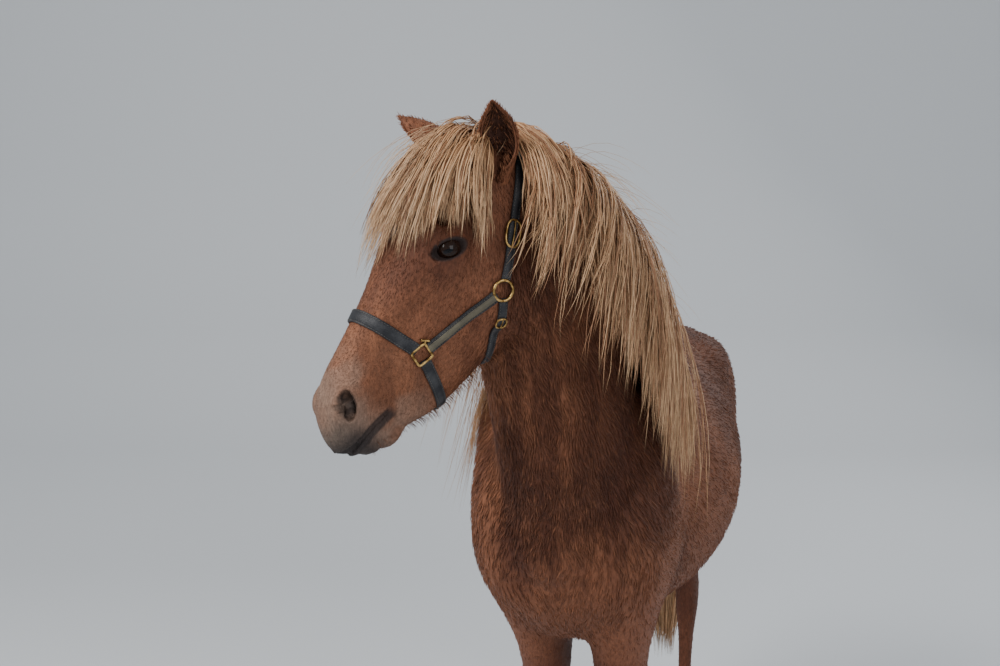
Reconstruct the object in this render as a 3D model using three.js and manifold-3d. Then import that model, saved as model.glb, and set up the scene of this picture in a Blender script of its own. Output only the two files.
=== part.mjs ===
// A life-size standing Icelandic horse, chestnut with a flaxen mane, in a leather halter.
// Millimetres, +Z up. The horse faces +X, its left side is +Y, and it stands on z = 0.
import * as THREE from 'three';
import { ConvexGeometry } from 'three/addons/geometries/ConvexGeometry.js';
import { mergeVertices } from 'three/addons/utils/BufferGeometryUtils.js';
import Module from 'manifold-3d';

const wasm = await Module();
wasm.setup();

// Driving dimensions
const HEAD_LENGTH = 575; // poll to upper lip, the unit of the head tables
const POLL = new THREE.Vector3(940, -98, 1780); // top of the skull behind the ears
const HEAD_TURN = -45; // degrees to the horse's right
const HEAD_PITCH = 54; // degrees below the horizontal
const HEAD_ROLL = 0; // degrees, left side up
const GAP = 0.35; // clearance between neighbouring solids

// Materials
const coat = new THREE.MeshStandardMaterial({ color: 0x6f4027, roughness: 0.75 });
const flaxen = new THREE.MeshStandardMaterial({ color: 0xb58d5e, roughness: 0.6 });
const horn = new THREE.MeshStandardMaterial({ color: 0x3a3029, roughness: 0.5 });
const eyeGloss = new THREE.MeshStandardMaterial({ color: 0x140d0a, roughness: 0.08 });
const leather = new THREE.MeshStandardMaterial({ color: 0x2b2c30, roughness: 0.55 });
const brass = new THREE.MeshStandardMaterial({ color: 0xb08d57, roughness: 0.35, metalness: 1 });

// A table of sections: each row is read by column names, and the first column is its place.
function table(names, rows) {
  const columns = names.map((_, i) => rows.map((row) => row[i]));
  const first = rows[0][0];
  const last = rows[rows.length - 1][0];
  const place = columns[0];
  const slope = (values, i) => {
    const before = Math.max(i - 1, 0);
    const after = Math.min(i + 1, place.length - 1);
    return (values[after] - values[before]) / (place[after] - place[before]);
  };
  const at = (where) => {
    const x = Math.min(Math.max(where, first), last);
    let i = place.findIndex((p, n) => n < place.length - 1 && x <= place[n + 1]);
    i = Math.max(i, 0);
    const span = place[i + 1] - place[i];
    const t = (x - place[i]) / span;
    const row = {};
    names.forEach((name, c) => {
      const v = columns[c];
      const [a, b] = [v[i], v[i + 1]];
      const [ma, mb] = [slope(v, i) * span, slope(v, i + 1) * span];
      row[name] =
        a * (2 * t ** 3 - 3 * t ** 2 + 1) + ma * (t ** 3 - 2 * t ** 2 + t) +
        b * (3 * t ** 2 - 2 * t ** 3) + mb * (t ** 3 - t ** 2);
    });
    return row;
  };
  return { at, first, last, place };
}

// Ring positions: every section of the table and `steps - 1` between each two.
function ringPlaces({ place }, steps) {
  const list = [];
  for (let i = 0; i < place.length - 1; i++) {
    for (let s = 0; s < steps; s++) list.push(place[i] + ((place[i + 1] - place[i]) * s) / steps);
  }
  list.push(place[place.length - 1]);
  return list;
}

// A closed mesh from rings of points, with the first and last ring capped.
function closedFromRings(rings) {
  const sides = rings[0].length;
  const vertices = rings.flat().flatMap((p) => [p.x, p.y, p.z]);
  const middle = (ring) => ring.reduce((sum, p) => sum.add(p), new THREE.Vector3()).divideScalar(sides);
  const indices = [];
  for (let r = 0; r < rings.length - 1; r++) {
    for (let s = 0; s < sides; s++) {
      const a = r * sides + s;
      const b = r * sides + ((s + 1) % sides);
      indices.push(a, b, b + sides, a, b + sides, a + sides);
    }
  }
  const caps = [rings[0], rings[rings.length - 1]];
  caps.forEach((ring, end) => {
    const centre = vertices.length / 3;
    vertices.push(...middle(ring).toArray());
    const base = end * (rings.length - 1) * sides;
    for (let s = 0; s < sides; s++) {
      const a = base + s;
      const b = base + ((s + 1) % sides);
      indices.push(...(end ? [a, b, centre] : [b, a, centre]));
    }
  });
  const geometry = new THREE.BufferGeometry();
  geometry.setAttribute('position', new THREE.Float32BufferAttribute(vertices, 3));
  geometry.setIndex(indices);
  return geometry;
}

// Solids that join and cut
function solid(geometry) {
  const bare = geometry.clone();
  for (const name of Object.keys(bare.attributes)) if (name !== 'position') bare.deleteAttribute(name);
  const merged = mergeVertices(bare, 1e-3);
  const mesh = new wasm.Mesh({
    numProp: 3,
    vertProperties: new Float32Array(merged.attributes.position.array),
    triVerts: new Uint32Array(merged.index.array),
  });
  const made = new wasm.Manifold(mesh);
  return made.volume() < 0 ? turnedOut(mesh) : made;
}

function turnedOut(mesh) {
  const triangles = new Uint32Array(mesh.triVerts);
  for (let i = 0; i < triangles.length; i += 3) {
    [triangles[i + 1], triangles[i + 2]] = [triangles[i + 2], triangles[i + 1]];
  }
  return new wasm.Manifold(new wasm.Mesh({ numProp: 3, vertProperties: mesh.vertProperties, triVerts: triangles }));
}

// Vertices on a fine grid, without the slivers that close up there and pairs of faces that lie back to back.
function regrid(geometry, step = 0.01) {
  const { position } = geometry.attributes;
  const places = new Map();
  const points = [];
  const onGrid = Array.from({ length: position.count }, (_, i) => {
    const at = [position.getX(i), position.getY(i), position.getZ(i)].map((v) => Math.round(v / step));
    const key = at.join();
    if (!places.has(key)) {
      places.set(key, points.length);
      points.push(at.map((v) => v * step));
    }
    return places.get(key);
  });
  const faces = new Map();
  for (let i = 0; i < geometry.index.count; i += 3) {
    const face = [0, 1, 2].map((k) => onGrid[geometry.index.getX(i + k)]);
    if (new Set(face).size < 3) continue;
    const key = [...face].sort((a, b) => a - b).join();
    if (faces.has(key)) faces.delete(key);
    else faces.set(key, face);
  }
  const made = new THREE.BufferGeometry();
  made.setAttribute('position', new THREE.Float32BufferAttribute(points.flat(), 3));
  made.setIndex([...faces.values()].flat());
  return made;
}

function geometryOf(manifold) {
  const mesh = manifold.getMesh();
  const geometry = new THREE.BufferGeometry();
  geometry.setAttribute('position', new THREE.BufferAttribute(new Float32Array(mesh.vertProperties), 3));
  geometry.setIndex(new THREE.BufferAttribute(new Uint32Array(mesh.triVerts), 1));
  return geometry;
}

// Works a form out in full before the next step uses it.
function settled(form) {
  form.numTri();
  return form;
}

const join = (pieces) => settled(pieces.reduce((whole, piece) => settled(whole.add(piece))));
const cut = (whole, pieces) => pieces.reduce((rest, piece) => settled(rest.subtract(piece)), whole);
// A bent form joined from convex pieces between its rings, so that a tight bend can't turn it inside out.
const chain = (rings) => join(rings.slice(1).map((ring, i) => solid(new ConvexGeometry([...rings[i], ...ring]))));
const largest = (manifold) => manifold.decompose().sort((a, b) => b.volume() - a.volume())[0];

// A rounded section: a superellipse with its own reach up, down and to each side.
function sectionPoint(section, angle) {
  const { up, down, left, right, roundUp = 2, roundDown = 2 } = section;
  const c = Math.cos(angle);
  const s = Math.sin(angle);
  const round = s >= 0 ? roundUp : roundDown;
  const power = (v) => Math.sign(v) * Math.abs(v) ** (2 / round);
  return [power(c) * (c >= 0 ? left : right), power(s) * (s >= 0 ? up : down)];
}

// How far outside a section a point is, along the line from the section's centre.
function sectionDistance(section, side, height) {
  const { up, down, left, right, roundUp = 2, roundDown = 2 } = section;
  const n = height >= 0 ? roundUp : roundDown;
  const u = Math.abs(side) / (side >= 0 ? left : right);
  const v = Math.abs(height) / (height >= 0 ? up : down);
  const q = Math.max((u ** n + v ** n) ** (1 / n), 1e-6);
  return Math.hypot(side, height) * (1 - 1 / q);
}

// A tube is {places, frame(at), section(at)}: frame gives centre, left and up.
function tubeRing(tube, at, sides, grow = 0) {
  const { centre, left, up } = tube.frame(at);
  const section = tube.section(at);
  return Array.from({ length: sides }, (_, i) => {
    const [x, y] = sectionPoint(section, (2 * Math.PI * (i + 0.5)) / sides);
    const reach = 1 + grow / Math.max(Math.hypot(x, y), 1);
    return centre.clone().addScaledVector(left, x * reach).addScaledVector(up, y * reach);
  });
}

function tubeSolid(tube, sides, steps = 1, grow = 0) {
  const places = ringPlaces(tube.places, steps);
  const rings = places.map((at) => tubeRing(tube, at, sides, grow));
  const centres = places.map((at) => tube.frame(at).centre);
  const last = rings.length - 1;
  const push = (end, inner) => {
    const outward = centres[end].clone().sub(centres[inner]).normalize();
    for (const point of rings[end]) point.addScaledVector(outward, grow);
  };
  push(0, 1);
  push(last, last - 1);
  return solid(closedFromRings(rings));
}

// Torso: upright sections across x. wide is the height of the broadest level.
const X = new THREE.Vector3(1, 0, 0);
const Y = new THREE.Vector3(0, 1, 0);
const Z = new THREE.Vector3(0, 0, 1);

const TORSO = table(['x', 'top', 'bottom', 'half', 'wide', 'crown', 'keel'], [
  [-722, 1150, 1050, 30, 1100, 2, 2],
  [-705, 1205, 985, 85, 1100, 2, 2],
  [-650, 1262, 900, 150, 1110, 2, 2],
  [-560, 1322, 845, 200, 1110, 1.9, 2],
  [-450, 1358, 812, 228, 1105, 1.9, 2],
  [-320, 1362, 785, 244, 1075, 1.9, 2.1],
  [-180, 1340, 745, 280, 1035, 1.9, 2.1],
  [0, 1316, 718, 294, 1005, 1.9, 2.1],
  [180, 1322, 716, 278, 995, 1.9, 2.05],
  [320, 1350, 730, 244, 990, 1.8, 1.9],
  [430, 1372, 750, 212, 985, 1.7, 1.8],
  [530, 1372, 772, 190, 990, 1.7, 1.9],
  [620, 1340, 796, 178, 1000, 1.9, 2],
  [690, 1270, 830, 164, 1010, 2, 2],
  [740, 1180, 880, 132, 1015, 2, 2],
  [770, 1100, 945, 70, 1020, 2, 2],
]);

const torsoTube = {
  places: TORSO,
  frame: (x) => ({ centre: new THREE.Vector3(x, 0, TORSO.at(x).wide), left: Y, up: Z }),
  section: (x) => {
    const { top, bottom, half, wide, crown, keel } = TORSO.at(x);
    return { up: top - wide, down: wide - bottom, left: half, right: half, roundUp: crown, roundDown: keel };
  },
};

// Legs: level sections. front and back are x in a square stance, inner and outer are distances from the midline.
const FORELEG = table(['z', 'front', 'back', 'inner', 'outer', 'round'], [
  [0, 632, 512, 74, 186, 2.2],
  [62, 606, 516, 84, 174, 2.2],
  [82, 596, 508, 90, 166, 2.2],
  [120, 572, 498, 98, 156, 2.1],
  [160, 564, 476, 96, 158, 2.1],
  [185, 560, 474, 96, 158, 2.1],
  [225, 552, 486, 102, 152, 2.1],
  [300, 550, 488, 104, 150, 2.1],
  [362, 558, 484, 99, 154, 2.1],
  [400, 568, 478, 93, 161, 2.3],
  [440, 570, 476, 92, 162, 2.3],
  [485, 568, 476, 92, 162, 2.2],
  [560, 576, 462, 86, 168, 2.1],
  [650, 596, 440, 72, 178, 2],
  [740, 626, 412, 54, 178, 2],
  [830, 668, 384, 34, 190, 2],
  [920, 716, 374, 30, 202, 2],
  [1000, 724, 376, 30, 204, 2],
  [1090, 690, 366, 30, 198, 2],
  [1180, 630, 350, 26, 178, 2],
  [1260, 560, 350, 20, 142, 2],
  [1310, 500, 380, 20, 100, 2],
]);

const HINDLEG = table(['z', 'front', 'back', 'inner', 'outer', 'round'], [
  [0, -530, -652, 80, 190, 2.2],
  [62, -556, -648, 90, 178, 2.2],
  [82, -564, -654, 96, 170, 2.2],
  [120, -588, -664, 104, 162, 2.1],
  [160, -598, -686, 104, 164, 2.1],
  [190, -606, -692, 105, 164, 2.1],
  [235, -618, -688, 110, 158, 2.1],
  [320, -622, -692, 111, 158, 2.1],
  [400, -618, -700, 108, 162, 2.2],
  [450, -610, -714, 102, 168, 2.3],
  [500, -600, -728, 98, 172, 2.3],
  [545, -590, -732, 98, 172, 2.2],
  [585, -576, -722, 98, 170, 2.1],
  [640, -546, -694, 92, 176, 2],
  [710, -500, -684, 76, 190, 2],
  [780, -440, -692, 56, 208, 2],
  [850, -388, -706, 42, 224, 2],
  [920, -362, -722, 36, 234, 2],
  [1000, -360, -736, 30, 238, 2.1],
  [1080, -370, -734, 30, 234, 2.1],
  [1170, -390, -700, 30, 216, 2],
  [1250, -430, -640, 30, 176, 2],
  [1300, -470, -590, 30, 120, 2],
]);

// Where each foot stands, as a shift of the square stance: forward below its pivot, inward below the chest.
const LEGS = [
  { name: 'front_left', sections: FORELEG, side: 1, forward: 20, inward: 26, pivot: 1150 },
  { name: 'front_right', sections: FORELEG, side: -1, forward: -150, inward: 50, pivot: 1150 },
  { name: 'hind_left', sections: HINDLEG, side: 1, forward: 100, inward: 40, pivot: 1100 },
  { name: 'hind_right', sections: HINDLEG, side: -1, forward: -40, inward: 20, pivot: 1100 },
];
const NARROWING = { from: 1000, to: 600 };

function legTube({ sections, side, forward, inward, pivot }) {
  const smooth = (t) => t * t * (3 - 2 * t);
  const swing = (z) => {
    const t = THREE.MathUtils.clamp(1 - z / pivot, 0, 1);
    return 0.65 * t + 0.35 * smooth(t);
  };
  const narrow = (z) => smooth(THREE.MathUtils.clamp((NARROWING.from - z) / (NARROWING.from - NARROWING.to), 0, 1));
  const middle = (z) => {
    const { front, back, inner, outer } = sections.at(z);
    return { x: (front + back) / 2 + forward * swing(z), y: side * ((inner + outer) / 2 - inward * narrow(z)) };
  };
  return {
    places: sections,
    frame: (z) => ({ centre: new THREE.Vector3(middle(z).x, middle(z).y, z), left: Y, up: X }),
    section: (z) => {
      const { front, back, inner, outer, round } = sections.at(z);
      const half = (outer - inner) / 2;
      const deep = (front - back) / 2;
      return { up: deep, down: deep, left: half, right: half, roundUp: round, roundDown: round };
    },
  };
}

// Head frame: along the face from the poll to the lip, left, and dorsal.
const radians = THREE.MathUtils.degToRad;
const headTurn = new THREE.Matrix4()
  .makeRotationZ(radians(HEAD_TURN))
  .multiply(new THREE.Matrix4().makeRotationY(radians(HEAD_PITCH)))
  .multiply(new THREE.Matrix4().makeRotationX(radians(HEAD_ROLL)));
const headMatrix = new THREE.Matrix4().makeTranslation(POLL.x, POLL.y, POLL.z).multiply(headTurn);
const headInverse = headMatrix.clone().invert();
const onHead = (along, left, dorsal) => new THREE.Vector3(along, left, dorsal).applyMatrix4(headMatrix);

const HEAD = table(['along', 'top', 'bottom', 'half', 'wide', 'crown', 'jaw'], [
  [-32, -35, -120, 36, -80, 2, 2],
  [0, 0, -165, 62, -78, 2, 2],
  [50, 14, -205, 78, -72, 2.2, 2],
  [110, 20, -242, 90, -62, 2.4, 1.9],
  [170, 23, -266, 99, -56, 2.6, 1.7],
  [215, 20, -270, 101, -54, 2.7, 1.6],
  [260, 13, -262, 91, -62, 2.6, 1.6],
  [310, 5, -246, 77, -76, 2.4, 1.7],
  [370, -2, -232, 61, -84, 2.2, 1.8],
  [430, -8, -214, 53, -88, 2.1, 1.9],
  [480, -14, -184, 53, -86, 2.1, 2],
  [520, -27, -164, 52, -88, 2.2, 2],
  [550, -48, -152, 45, -96, 2.2, 2],
  [570, -72, -140, 30, -104, 2, 2],
  [578, -92, -122, 10, -108, 2, 2],
]);

const headTube = {
  places: HEAD,
  frame: (along) => ({
    centre: onHead(along, 0, HEAD.at(along).wide),
    left: Y.clone().transformDirection(headTurn),
    up: Z.clone().transformDirection(headTurn),
  }),
  section: (along) => {
    const { top, bottom, half, wide, crown, jaw } = HEAD.at(along);
    return { up: top - wide, down: wide - bottom, left: half, right: half, roundUp: crown, roundDown: jaw };
  },
};

// Neck: sections square to a bent axis, from inside the shoulders to inside the skull.
const neckCurve = new THREE.CatmullRomCurve3([
  new THREE.Vector3(430, 0, 1020),
  new THREE.Vector3(575, 4, 1160),
  new THREE.Vector3(700, 6, 1335),
  new THREE.Vector3(798, -14, 1505),
  onHead(54, 0, -130),
  onHead(24, 0, -66),
]);

const NECK = table(['t', 'crest', 'throat', 'half', 'crown', 'keel'], [
  [0, 300, 290, 160, 1.8, 2],
  [0.18, 285, 272, 154, 1.7, 2.1],
  [0.36, 252, 240, 138, 1.7, 2.1],
  [0.54, 214, 200, 118, 1.8, 2.1],
  [0.72, 176, 162, 100, 1.9, 2],
  [0.9, 126, 128, 84, 2, 2],
  [1, 66, 70, 58, 2, 2],
]);

const neckTube = {
  places: NECK,
  frame: (t) => {
    const tangent = neckCurve.getTangentAt(t);
    const left = new THREE.Vector3().crossVectors(Z, tangent).normalize();
    return { centre: neckCurve.getPointAt(t), left, up: new THREE.Vector3().crossVectors(tangent, left) };
  },
  section: (t) => {
    const { crest, throat, half, crown, keel } = NECK.at(t);
    return { up: crest, down: throat, left: half, right: half, roundUp: crown, roundDown: keel };
  },
};

// The flesh as tubes, and how far a point lies outside them
const legTubes = LEGS.map((leg) => ({ name: leg.name, ...legTube(leg) }));
const RIDGES = [torsoTube, neckTube, headTube];
const SIDES = { torso: 22, neck: 18, head: 22, leg: 12 };
const NECK_RINGS = 2;

const skull = (grow = 0) => tubeSolid(headTube, SIDES.head, 1, grow);
const trunk = (grow = 0) => join([
  tubeSolid(torsoTube, SIDES.torso, 1, grow),
  tubeSolid(neckTube, SIDES.neck, NECK_RINGS, grow),
  ...legTubes.map((tube) => tubeSolid(tube, SIDES.leg, 1, grow)),
]);

const localPoint = (tube, at, point) => {
  const { centre, left, up } = tube.frame(at);
  const away = point.clone().sub(centre);
  return sectionDistance(tube.section(at), away.dot(left), away.dot(up));
};

const neckSamples = Array.from({ length: 41 }, (_, i) => i / 40);
const neckCentres = neckSamples.map((t) => neckCurve.getPointAt(t));

function fleshDistance(point) {
  const onFace = point.clone().applyMatrix4(headInverse);
  let best = 0;
  neckCentres.forEach((centre, i) => {
    if (centre.distanceTo(point) < neckCentres[best].distanceTo(point)) best = i;
  });
  const inside = (value, { first, last }) => Math.min(Math.max(value, first), last);
  const beyond = (value, { first, last }) => Math.max(first - value, value - last, 0);
  const distances = [
    localPoint(torsoTube, inside(point.x, TORSO), point) + beyond(point.x, TORSO),
    localPoint(neckTube, neckSamples[best], point),
    localPoint(headTube, inside(onFace.x, HEAD), point) + beyond(onFace.x, HEAD),
    ...legTubes.map((tube) => {
      return localPoint(tube, inside(point.z, tube.places), point) + beyond(point.z, tube.places);
    }),
  ];
  return Math.min(...distances);
}

function fleshNormal(point) {
  const step = 6;
  const slope = [X, Y, Z].map((axis) => {
    const ahead = fleshDistance(point.clone().addScaledVector(axis, step));
    return ahead - fleshDistance(point.clone().addScaledVector(axis, -step));
  });
  return new THREE.Vector3(...slope).normalize();
}

// Simple shapes
function placed(geometry, centre, x, y, z, scale = [1, 1, 1]) {
  const matrix = new THREE.Matrix4().makeBasis(x, y, z);
  matrix.scale(new THREE.Vector3(...scale));
  matrix.setPosition(centre);
  return solid(geometry.clone().applyMatrix4(matrix));
}

const headAxes = ['x', 'y', 'z'].map((_, i) => new THREE.Vector3().setFromMatrixColumn(headTurn, i));
const [ALONG, LEFT, DORSAL] = headAxes;
const ball = new THREE.IcosahedronGeometry(1, 2);
const smallBall = new THREE.IcosahedronGeometry(1, 1);
const headBall = (at, scale, grow = 0) => {
  return placed(smallBall, onHead(...at), ALONG, LEFT, DORSAL, scale.map((half) => half + grow));
};

// A thin slab square to `normal`, used to part the whole.
function slab(centre, normal, along, length, width, thickness = GAP) {
  const n = normal.clone().normalize();
  const a = along.clone().addScaledVector(n, -along.dot(n)).normalize();
  const b = new THREE.Vector3().crossVectors(n, a);
  return placed(new THREE.BoxGeometry(length, width, thickness), centre, a, b, n);
}

// Head: brow, cheek ridge, nostrils, lips, chin and the line of the mouth
const MIRRORED = [['left', 1], ['right', -1]];
const EYE = { along: 204, side: 79, dorsal: -44, radius: 23 };
const LID = { out: 4.5, long: 26, high: 16 };
const NOSTRIL = { along: 508, side: 45, dorsal: -58 };
const MOUTH = { corner: [474, -126], front: [582, -118], gap: 3, depth: 10 };

// Frame of one eye: outward, then along its slit, then across it.
function eyeFrame(side) {
  const out = ALONG.clone().multiplyScalar(0.22).addScaledVector(LEFT, side * 0.94).addScaledVector(DORSAL, 0.24);
  out.normalize();
  const slit = ALONG.clone().multiplyScalar(0.93).addScaledVector(DORSAL, 0.36);
  slit.addScaledVector(out, -slit.dot(out)).normalize();
  const across = new THREE.Vector3().crossVectors(out, slit);
  return { centre: onHead(EYE.along, side * EYE.side, EYE.dorsal), out, slit, across };
}

function eyeBall(side, grow) {
  const { centre, out, slit, across } = eyeFrame(side);
  const r = EYE.radius + grow;
  return placed(ball, centre, slit, across, out, [r, r, r]);
}

function headDetails(grow = 0) {
  const added = [];
  const taken = [];
  for (const [, side] of MIRRORED) {
    const { centre, out, slit, across } = eyeFrame(side);
    const lid = EYE.radius + LID.out + grow;
    added.push(placed(ball, centre, slit, across, out, [lid + 4, lid, lid]));
    added.push(headBall([184, side * 70, -22], [42, 20, 20], grow)); // bone over the eye
    added.push(headBall([296, side * 58, -92], [92, 12, 11], grow)); // ridge of the cheek
    added.push(headBall([NOSTRIL.along - 4, side * 38, NOSTRIL.dorsal], [36, 19, 26], grow)); // wing of the nostril
    const opening = centre.clone().addScaledVector(out, EYE.radius + 6);
    taken.push(eyeBall(side, GAP));
    taken.push(placed(smallBall, opening, slit, across, out, [LID.long, LID.high, 17]));
    taken.push(nostrilHole(side));
  }
  added.push(headBall([546, 0, -96], [32, 42, 34], grow)); // upper lip
  added.push(headBall([526, 0, -146], [36, 34, 22], grow)); // lower lip
  added.push(headBall([498, 0, -164], [34, 30, 24], grow)); // chin
  return { added, taken };
}

function nostrilHole(side) {
  const out = ALONG.clone().multiplyScalar(0.45).addScaledVector(LEFT, side * 0.86).addScaledVector(DORSAL, 0.1);
  out.normalize();
  const tall = DORSAL.clone().multiplyScalar(0.9).addScaledVector(ALONG, -0.35);
  tall.addScaledVector(out, -tall.dot(out)).normalize();
  const across = new THREE.Vector3().crossVectors(out, tall);
  const centre = onHead(NOSTRIL.along, side * (NOSTRIL.side + 8), NOSTRIL.dorsal);
  return placed(smallBall, centre, tall, across, out, [18, 10, 21]);
}

function mouthLine() {
  const [[a1, d1], [a2, d2]] = [MOUTH.corner, MOUTH.front];
  const run = onHead(a2, 0, d2).sub(onHead(a1, 0, d1));
  const middle = onHead((a1 + a2) / 2, 0, (d1 + d2) / 2);
  const across = new THREE.Vector3().crossVectors(LEFT, run).normalize();
  const sheet = slab(middle, across, run, run.length(), 200, MOUTH.gap);
  const core = join([tubeSolid(headTube, 12, 1, -MOUTH.depth), headBall([546, 0, -96], [20, 28, 24])]);
  return sheet.subtract(core);
}

// Ears: a cupped shell from base to tip
const EARS = [
  { name: 'left', base: [46, 58, -54], tip: [-30, 106, 42], open: [0.35, 0.87, 0.34], bow: 1 },
  { name: 'right', base: [40, -56, -48], tip: [22, -98, 94], open: [0.75, -0.6, 0.1], bow: -1 },
];
const EAR = table(['s', 'half', 'deep', 'back'], [
  [0, 27, 25, 6],
  [0.2, 33, 27, 2],
  [0.42, 35, 24, -2],
  [0.64, 30, 18, -4],
  [0.84, 18, 11, -1],
  [1, 3, 3, 3],
]);

function earSolid({ base, tip, open, bow }, grow = 0) {
  const foot = onHead(...base);
  const axis = onHead(...tip).sub(foot);
  const out = ALONG.clone().multiplyScalar(open[0]).addScaledVector(LEFT, open[1]).addScaledVector(DORSAL, open[2]);
  out.addScaledVector(axis, -out.dot(axis) / axis.lengthSq()).normalize();
  const across = new THREE.Vector3().crossVectors(axis, out).normalize();
  const rings = (shrink, forward) => ringPlaces(EAR, 1).map((s) => {
    const { half, deep, back } = EAR.at(s);
    const centre = foot.clone().addScaledVector(axis, s);
    centre.addScaledVector(out, forward + back).addScaledVector(across, bow * 6 * Math.sin(Math.PI * s));
    return Array.from({ length: 12 }, (_, i) => {
      const angle = (2 * Math.PI * i) / 12;
      const w = Math.max(half - shrink, 0.6);
      const d = Math.max(deep - shrink, 0.6);
      return centre.clone().addScaledVector(across, Math.cos(angle) * w).addScaledVector(out, Math.sin(angle) * d);
    });
  });
  const outer = solid(closedFromRings(rings(-grow, 0)));
  if (grow) return outer;
  const cup = solid(closedFromRings(rings(4, 14).slice(1)));
  return outer.subtract(cup);
}

// Where the parts are separated
const NECK_BASE = { at: new THREE.Vector3(600, 0, 1190), normal: new THREE.Vector3(0.66, 0, 0.75) };
const LEG_CUT = { fore: [530, 732], hind: [-580, 735] };
const CORONET = { front: 86, back: 52 };

function partingSlabs() {
  const slabs = [slab(NECK_BASE.at, NECK_BASE.normal, X, 640, 520)];
  for (const { name, sections, side, forward, inward } of LEGS) {
    const [x, z] = name.startsWith('front') ? LEG_CUT.fore : LEG_CUT.hind;
    const shift = forward * 0.2;
    slabs.push(slab(new THREE.Vector3(x + shift, side * 100, z), Z, X, 330, 180));
    const { front, back, inner, outer } = sections.at(0);
    const slope = Math.atan2(CORONET.front - CORONET.back, front - back);
    const middle = (CORONET.front + CORONET.back) / 2;
    const tilt = new THREE.Vector3(-Math.sin(slope), 0, Math.cos(slope));
    const centre = new THREE.Vector3((front + back) / 2 + forward, side * ((inner + outer) / 2 - inward), middle);
    slabs.push(slab(centre, tilt, X, 210, 180));
  }
  return slabs;
}

// Names by where the middle of each piece lies
function nameOf(piece) {
  const { min, max } = piece.boundingBox();
  const middle = new THREE.Vector3(...min).add(new THREE.Vector3(...max)).multiplyScalar(0.5);
  const side = middle.y > 0 ? 'left' : 'right';
  const end = middle.x > 0 ? 'front' : 'hind';
  if (max[2] < 120) return `hoof_${end}_${side}`;
  if (max[2] < 800) return `leg_${end}_${side}`;
  return min[2] < 900 ? 'torso' : 'neck';
}

// Halter: straps are bands of a shell round the head
const STRAP = { width: 21, thick: 4, clear: 2 * GAP };
const RINGS = { nose: 16, cheek: 19, wire: 3 };
const NOSE_TOP = [372, -6];
const NOSE_RING = [369, -115];
const CHIN_STRAP = [428, -262];
const CHEEK_RING = [207, -161];
const CROWN_TOP = [-110, -27];
const THROAT_STRAP = [334, -277];

const shellOf = (form, grow) => form(STRAP.clear + STRAP.thick + grow).subtract(form(STRAP.clear - grow));
const haltered = (grow) => join([
  tubeSolid(neckTube, SIDES.neck, NECK_RINGS, grow),
  tubeSolid(headTube, SIDES.head, 1, grow),
]);

// A band of the shell between two points of the side view, on one or both sides of the head.
function band(shell, from, to, width, [low, high]) {
  const span = 200;
  const a = onHead(from[0], 0, from[1]);
  const b = onHead(to[0], 0, to[1]);
  const run = b.clone().sub(a);
  const across = new THREE.Vector3().crossVectors(LEFT, run).normalize();
  const centre = a.clone().add(b).multiplyScalar(0.5).addScaledVector(LEFT, ((low + high) * span) / 2);
  const box = new THREE.BoxGeometry(run.length(), span * (high - low), width);
  return shell.intersect(placed(box, centre, run.clone().normalize(), LEFT, across));
}

const ring = (centre, x, y, z, radius, tube, sides) => {
  return placed(new THREE.TorusGeometry(radius, tube, 5, sides), centre, x, y, z);
};

// Hair: flat tapered locks that hang from their roots and slide over the flesh
const HAIR_SEED = 7;
let seed = HAIR_SEED;
function random(low = 0, high = 1) {
  seed = (seed * 16807) % 2147483647;
  return low + ((high - low) * seed) / 2147483647;
}

// Walks from the root, bending towards `fall` by `heavy` at each step and staying `clear` off the flesh.
function drape(root, start, fall, length, { steps, heavy, clear, wave = 0 }) {
  const points = [root.clone()];
  const direction = start.clone().normalize();
  const at = root.clone();
  const phase = random(0, 2 * Math.PI);
  const sideways = new THREE.Vector3().crossVectors(start, fall).normalize();
  for (let i = 1; i <= steps; i++) {
    direction.lerp(fall, heavy).normalize();
    at.addScaledVector(direction, length / steps);
    at.addScaledVector(sideways, wave * Math.cos(phase + (2.4 * i)));
    const room = fleshDistance(at) - clear(i / steps);
    if (room < 0) at.addScaledVector(fleshNormal(at), -room);
    points.push(at.clone());
  }
  return points;
}

// A lock: flat underneath with a low ridge outside, widest near a third of its length, closing to a point.
function lock(points, width, thick, facing) {
  const curve = new THREE.CatmullRomCurve3(points);
  const rows = points.length;
  const rings = [];
  for (let i = 0; i < rows; i++) {
    const t = i / (rows - 1);
    const centre = curve.getPoint(t);
    const tangent = curve.getTangent(t);
    const out = facing(centre, t);
    out.addScaledVector(tangent, -out.dot(tangent)).normalize();
    const across = new THREE.Vector3().crossVectors(tangent, out);
    const taper = t < 0.35 ? 0.75 + 0.7 * t : Math.max(1 - ((t - 0.35) / 0.65) ** 1.7, 0.06);
    const [w, h] = [width * taper * 0.5, Math.max(thick * taper * 0.5, 1)];
    rings.push([[1, -0.4], [0, 1], [-1, -0.4]].map(([x, y]) => {
      return centre.clone().addScaledVector(across, x * w).addScaledVector(out, y * h);
    }));
  }
  return chain(rings);
}

// Cores: a sheet over part of a tube, half way to the tips of the locks
function sheetOver(tube, from, to, rings, thick, sunk, reach) {
  const arc = 5;
  const list = [];
  for (let i = 0; i < rings; i++) {
    const share = i / (rings - 1);
    const at = from + (to - from) * share;
    const { centre, left, up } = tube.frame(at);
    const section = tube.section(at);
    const [first, last] = reach(share);
    const row = (grow) => Array.from({ length: arc }, (_, k) => {
      const edge = Math.sin((Math.PI * (k + 0.35)) / (arc - 0.3)) ** 0.5;
      const angle = radians(first + ((last - first) * k) / (arc - 1));
      const [x, y] = sectionPoint(section, angle);
      const more = 1 + (grow > 0 ? grow * edge : grow) / Math.hypot(x, y);
      return centre.clone().addScaledVector(left, x * more).addScaledVector(up, y * more);
    });
    list.push([...row(thick(share)), ...row(-sunk).reverse()]);
  }
  return solid(closedFromRings(list));
}

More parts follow.
